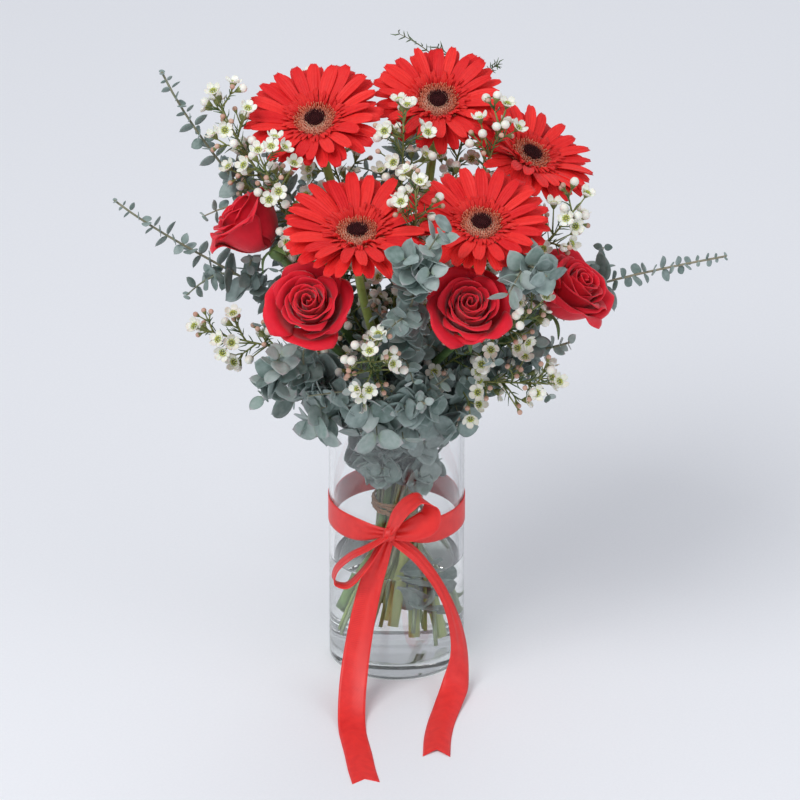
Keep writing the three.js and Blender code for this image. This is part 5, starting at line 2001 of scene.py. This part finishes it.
@dataclass
class WaxflowerSpray(Growth):
    """A spray of waxflower: white flowers, white and pink-brown buds, and needle leaves."""

    seed: int = 1200
    clusters_down_to: float = 218.0

    def _flower(self, tip: Vector, axis: Vector) -> None:
        """Adds an open flower: cup, five round petals, green-yellow middle and stamens.

        Args:
            tip: the middle of its face.
            axis: the way that it faces.
        """
        sculpt, own = self.sculpt, self.own
        place = head_placement(tip, axis, own() * FULL_TURN)
        tone = own()
        sculpt.turned(place, [(0, -4.2), (0.9, -4), (2.3, -1.6), (2.9, 0.2), (0, 0.2)], 9, tone,
                      WaxPart.STALK)
        sculpt.turned(place, [(0, 0), (2.9, 0.2), (2.8, 1.0), (2.4, 0.9), (1.9, 0.1), (0.6, 0.1),
                              (0.4, 0.9), (0, 1.0)], 9, tone, WaxPart.CENTRE)
        for k in range(5):
            spot = place @ Matrix.Rotation(FULL_TURN * k / 5, 4, "Z")
            cup = own.between(1.4, 4.2)

            def form(s: float, t: float, spot: Matrix = spot, cup: float = cup) -> Vector:
                """Returns the point at s along and t across."""
                if s < 0.5:
                    half = 1.2 + 1.5 * sin(pi * s)
                else:
                    half = 2.7 * sqrt(max(1 - ((s - 0.5) / 0.51) ** 2, 0.0))
                lift = cup * s * s + 0.7 * t * t
                return spot @ Vector((2.3 + 4.5 * s - 0.3 * cup * s * s, half * t, 0.5 + lift))

            sculpt.blade(form, 6, 4, tone, WaxPart.PETAL)
        for k in range(8):
            angle = FULL_TURN * (k + 0.5) / 8
            out = around(angle)
            line = [place @ point for point in (out * 2.6 + Vector((0, 0, 0.8)),
                                                out * 2.0 + Vector((0, 0, 1.9)))]
            sculpt.rod(line, [0.22, 0.28], 3, tone, WaxPart.PETAL)

    def _bud(self, tip: Vector, axis: Vector, radius: float, part: WaxPart) -> None:
        """Adds a closed round bud in its cup.

        Args:
            tip: the middle of the bud.
            axis: the way that it points.
            radius: its radius.
            part: its finish.
        """
        sculpt = self.sculpt
        place = head_placement(tip, axis, self.own() * FULL_TURN)
        tone = self.own()
        ball = [(radius * sin(a), -radius * cos(a)) for a in (pi * k / 6 for k in range(6))]
        sculpt.turned(place, [*ball, (radius * 0.22, radius * 0.93), (0, radius * 0.82)], 9, tone,
                      part)
        sculpt.turned(place, [(0, -radius * 1.9), (radius * 0.24, -radius * 1.85),
                              (radius * 0.7, -radius * 0.9), (radius * 0.86, -radius * 0.4),
                              (0, -radius * 0.3)], 7, tone, WaxPart.STALK)

    def _needle(self, root: Vector, tip: Vector) -> None:
        """Adds a thin needle leaf between two points, bent a little."""
        own = self.own
        sag = Vector((own.between(-1, 1), own.between(-1, 1), own.between(-0.6, 1)))
        line = [root, (root + tip) / 2 + sag, tip]
        self.sculpt.rod(line, [0.42, 0.5, 0.14], 4, own(), WaxPart.NEEDLE)

    def _stalk(self, root: Vector, tip: Vector, radius: float = 0.6) -> None:
        """Adds a stalk of a radius between two points."""
        middle = (root + tip) / 2 + Vector((0, 0, self.own.between(-0.8, 0.4)))
        self.sculpt.rod([root, middle, tip], [radius * 1.2, radius, radius * 0.8], 5, self.own(),
                        WaxPart.STALK)

    def _end(self, stalk: Stalk) -> None:
        """Adds a stalk with what it ends in."""
        if stalk.kind is End.NEEDLE:
            self._needle(stalk.at, stalk.tip)
            return
        back = {End.FLOWER: 4.0, End.BUD: 5.5, End.SMALL_BUD: 3.4}[stalk.kind]
        axis = stalk.axis if stalk.kind is End.FLOWER else stalk.out
        self._stalk(stalk.at, stalk.tip - axis * back)
        if stalk.kind is End.FLOWER:
            self._flower(stalk.tip, axis)
        elif stalk.kind is End.BUD:
            self._bud(stalk.tip, axis, BUD_RADIUS, WaxPart.PETAL)
        else:
            self._bud(stalk.tip, axis, SMALL_BUD_RADIUS, WaxPart.SMALL_BUD)

    def _laid(self, draw: Draw) -> None:
        """Adds the stalks that the frame has."""
        shape = SolidShape(self.stem.name)
        for k, kind in enumerate(SPRAY_ENDS):
            back = 1 + k * END_PITCH
            at, along = self.stem.station(back)
            reach = (13 if kind is End.NEEDLE else 15 + 0.35 * back) * (0.85 + 0.3 * draw())
            base = GOLDEN_ANGLE * k + draw()
            tilts = (1.4 if k == 0 else 0.75, 0.4, 1.15)
            stalk = shape.first(Stalk(kind, at, along, base + turn, tilt, reach * shrink)
                                for shrink in END_SHRINKS for turn in END_TURNS for tilt in tilts)
            if stalk:
                self._end(stalk)

    def _cluster(self, k: int, back: float) -> None:
        """Adds a side stalk that branches into three ends, with needles at its foot.

        Args:
            k: the number of the stalk.
            back: how far down the stem it is.
        """
        own = self.own
        at, along = self.stem.station(back)
        angle = GOLDEN_ANGLE * k + 1.3 + own.between(-0.4, 0.4)
        out = (side_of(along, angle) + along * own.between(0.5, 1.0)).normalized()
        fork = at + out * own.between(9, 15) * (1 if k < 8 else 1.5)
        if self.obstacles.crossed(at, fork) or fork.z < self.clusters_down_to - 4:
            return
        self._stalk(at, fork, 0.7)
        for turn in (0.0, 2.1, 4.2):
            way = (out * 1.1 + side_of(out, turn + own()) * 0.75).normalized()
            pick = own()
            kind = End.FLOWER if pick < 0.3 else End.BUD if pick < 0.62 else End.SMALL_BUD
            reach = own.between(7, 13)
            stalk = Stalk(kind, fork, way, 0, pi / 2, reach)
            room = {End.FLOWER: 7.0, End.BUD: 3.6, End.SMALL_BUD: 2.4}[kind]
            if not (self.obstacles.crossed(fork, stalk.tip)
                    or self.obstacles.crowded(stalk.tip, room)):
                self._end(stalk)
        for _ in range(4):
            way = (side_of(out, own() * FULL_TURN) + out * 0.9).normalized()
            root = at + (fork - at) * own.between(0.3, 1.0)
            self._needle(root, root + way * own.between(6, 11))

    def _twig(self, end: Vector) -> None:
        """Adds a twig from the stem's tip to an end, with needles all along it."""
        own = self.own
        root, along = self.stem.station(6.0)
        bend = (root + end) / 2 + along * 8
        points = [through(root, bend, end, k / 16) for k in range(17)]
        self.sculpt.rod(points, [0.7 - 0.03 * k for k in range(17)], 5, own(), WaxPart.STALK)
        for k in range(5, 17):
            way = (points[k] - points[k - 1]).normalized()
            for turn in (0.0, pi):
                side = side_of(way, GOLDEN_ANGLE * k + turn)
                needle = (side + way * own.between(0.7, 1.3)).normalized() * own.between(5, 8)
                self._needle(points[k], points[k] + needle)

    def build(self, draw: Draw) -> None:
        """Makes the spray, from the draw that the frame's stalks were laid with."""
        own = self.own
        self._laid(draw)
        self.sculpt.stem(self.stem, 0.5, 7, own(), WaxPart.STALK)
        back = 3.0
        k = 0
        while self.stem.station(back)[0].z > self.clusters_down_to:
            if k % 3 == 0:
                self._cluster(k // 3, back)
            at, along = self.stem.station(back)
            way = (side_of(along, GOLDEN_ANGLE * k) + along * own.between(0.8, 1.4)).normalized()
            tip = at + way * own.between(8, 13)
            if not self.obstacles.crossed(at, tip):
                self._needle(at, tip)
            back += own.between(2.4, 3.2)
            k += 1
        for end in TWIG_ENDS.get(self.stem.index, ()):
            self._twig(Vector(end))
        wears = self.finishes
        self.sculpt.piece(f"{self.stem.name}_spray", "waxflower", self.stem.name,
                          [wears.wax_stalk, wears.wax_petal, wears.wax_centre, wears.wax_bud,
                           wears.needle], 0.3)


# ---- The studio ----


@dataclass
class Studio:
    """A pale floor, soft light from large panels, and the camera."""

    finishes: Finishes
    target: Spot = (2.5, 0.0, 206.5)
    elevation: float = 26.0
    distance: float = 6000.0
    lens: float = 368.0
    floor_half: float = 12.0

    def build(self) -> None:
        """Makes the studio."""
        self._floor()
        self._world()
        self._panel("key_light", (-1.0, -1.4, 2.3), 1.3, 37.0)
        self._panel("fill_light", (1.7, -1.3, 1.5), 1.8, 9.0)
        self._panel("back_light", (0.3, 1.8, 2.0), 1.6, 10.0)
        self._camera()

    def _floor(self) -> None:
        """Adds the floor."""
        mesh = bmesh.new()
        bmesh.ops.create_grid(mesh, x_segments=1, y_segments=1, size=self.floor_half)
        floor = dressed("studio_floor", mesh, [self.finishes.floor])

    def _world(self) -> None:
        """Lights the scene evenly from all round."""
        world = bpy.data.worlds.new("studio_air")
        world.use_nodes = True
        shade = world.node_tree.nodes["Background"].inputs
        shade["Color"].default_value = linear("E6EAF2")
        shade["Strength"].default_value = 0.58
        bpy.context.scene.world = world

    @staticmethod
    def _panel(name: str, place: Spot, size: float, power: float) -> None:
        """Adds a square light panel that faces the flowers."""
        light = bpy.data.lights.new(name, "AREA")
        light.size = size
        light.energy = power
        panel = linked(name, light)
        panel.location = place
        aim = Vector((0, 0, 0.25)) - Vector(place)
        panel.rotation_euler = aim.to_track_quat("-Z", "Y").to_euler()
        # The back panel lights the flowers but isn't itself seen in the glass.
        panel.visible_glossy = panel.visible_transmission = name != "back_light"

    def _camera(self) -> None:
        """Adds the camera at the photograph's viewing angle."""
        lens = bpy.data.cameras.new("camera")
        lens.lens = self.lens
        lens.clip_end = 100
        camera = linked("camera", lens)
        angle = radians(self.elevation)
        target = Vector(self.target) * MM
        back = Vector((0, -cos(angle), sin(angle))) * self.distance * MM
        camera.location = target + back
        camera.rotation_euler = (-back).to_track_quat("-Z", "Y").to_euler()
        bpy.context.scene.camera = camera
        bpy.context.scene.view_settings.view_transform = "Standard"


# ---- The arrangement ----


def main() -> None:
    """Builds the arrangement and the studio round it."""
    logging.basicConfig(level=logging.INFO, format="%(name)s: %(message)s")
    finishes = Finishes()
    Studio(finishes).build()
    bundle = Bundle()
    Vase(finishes).build()
    Twine(bundle, finishes).build()
    Ribbon(finishes).build()

    obstacles = Obstacles([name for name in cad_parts
                           if name.endswith(("_rays", "_bloom", "_eye", "_florets"))
                           or name in ("vase", "ribbon")], bundle.stems)
    draw = Draw(7)
    stems = bundle.of(Kind.GERBERA)
    places = [head_placement(Vector(head.face), lean_axis(head), draw() * 0.4) for head in GERBERAS]
    for k, (head, stem, place) in enumerate(zip(GERBERAS, stems, places)):
        Gerbera(k + 1, head, stem, place, finishes).build(draw)
    draw = Draw(19)
    for k, (head, stem) in enumerate(zip(ROSES, bundle.of(Kind.ROSE))):
        place = head_placement(Vector(head.face), lean_axis(head), draw() * 6)
        Rose(k + 1, stem, place, finishes).build(draw)
    draw = Draw(101)
    for stem in bundle.of(Kind.EUCALYPTUS):
        EucalyptusSpray(stem, finishes, obstacles, far=stem.index in FAR_SPRAYS).build(draw)
    draw = Draw(211)
    for stem in bundle.of(Kind.WAXFLOWER):
        WaxflowerSpray(stem, finishes, obstacles).build(draw)


if __name__ == "__main__":
    main()
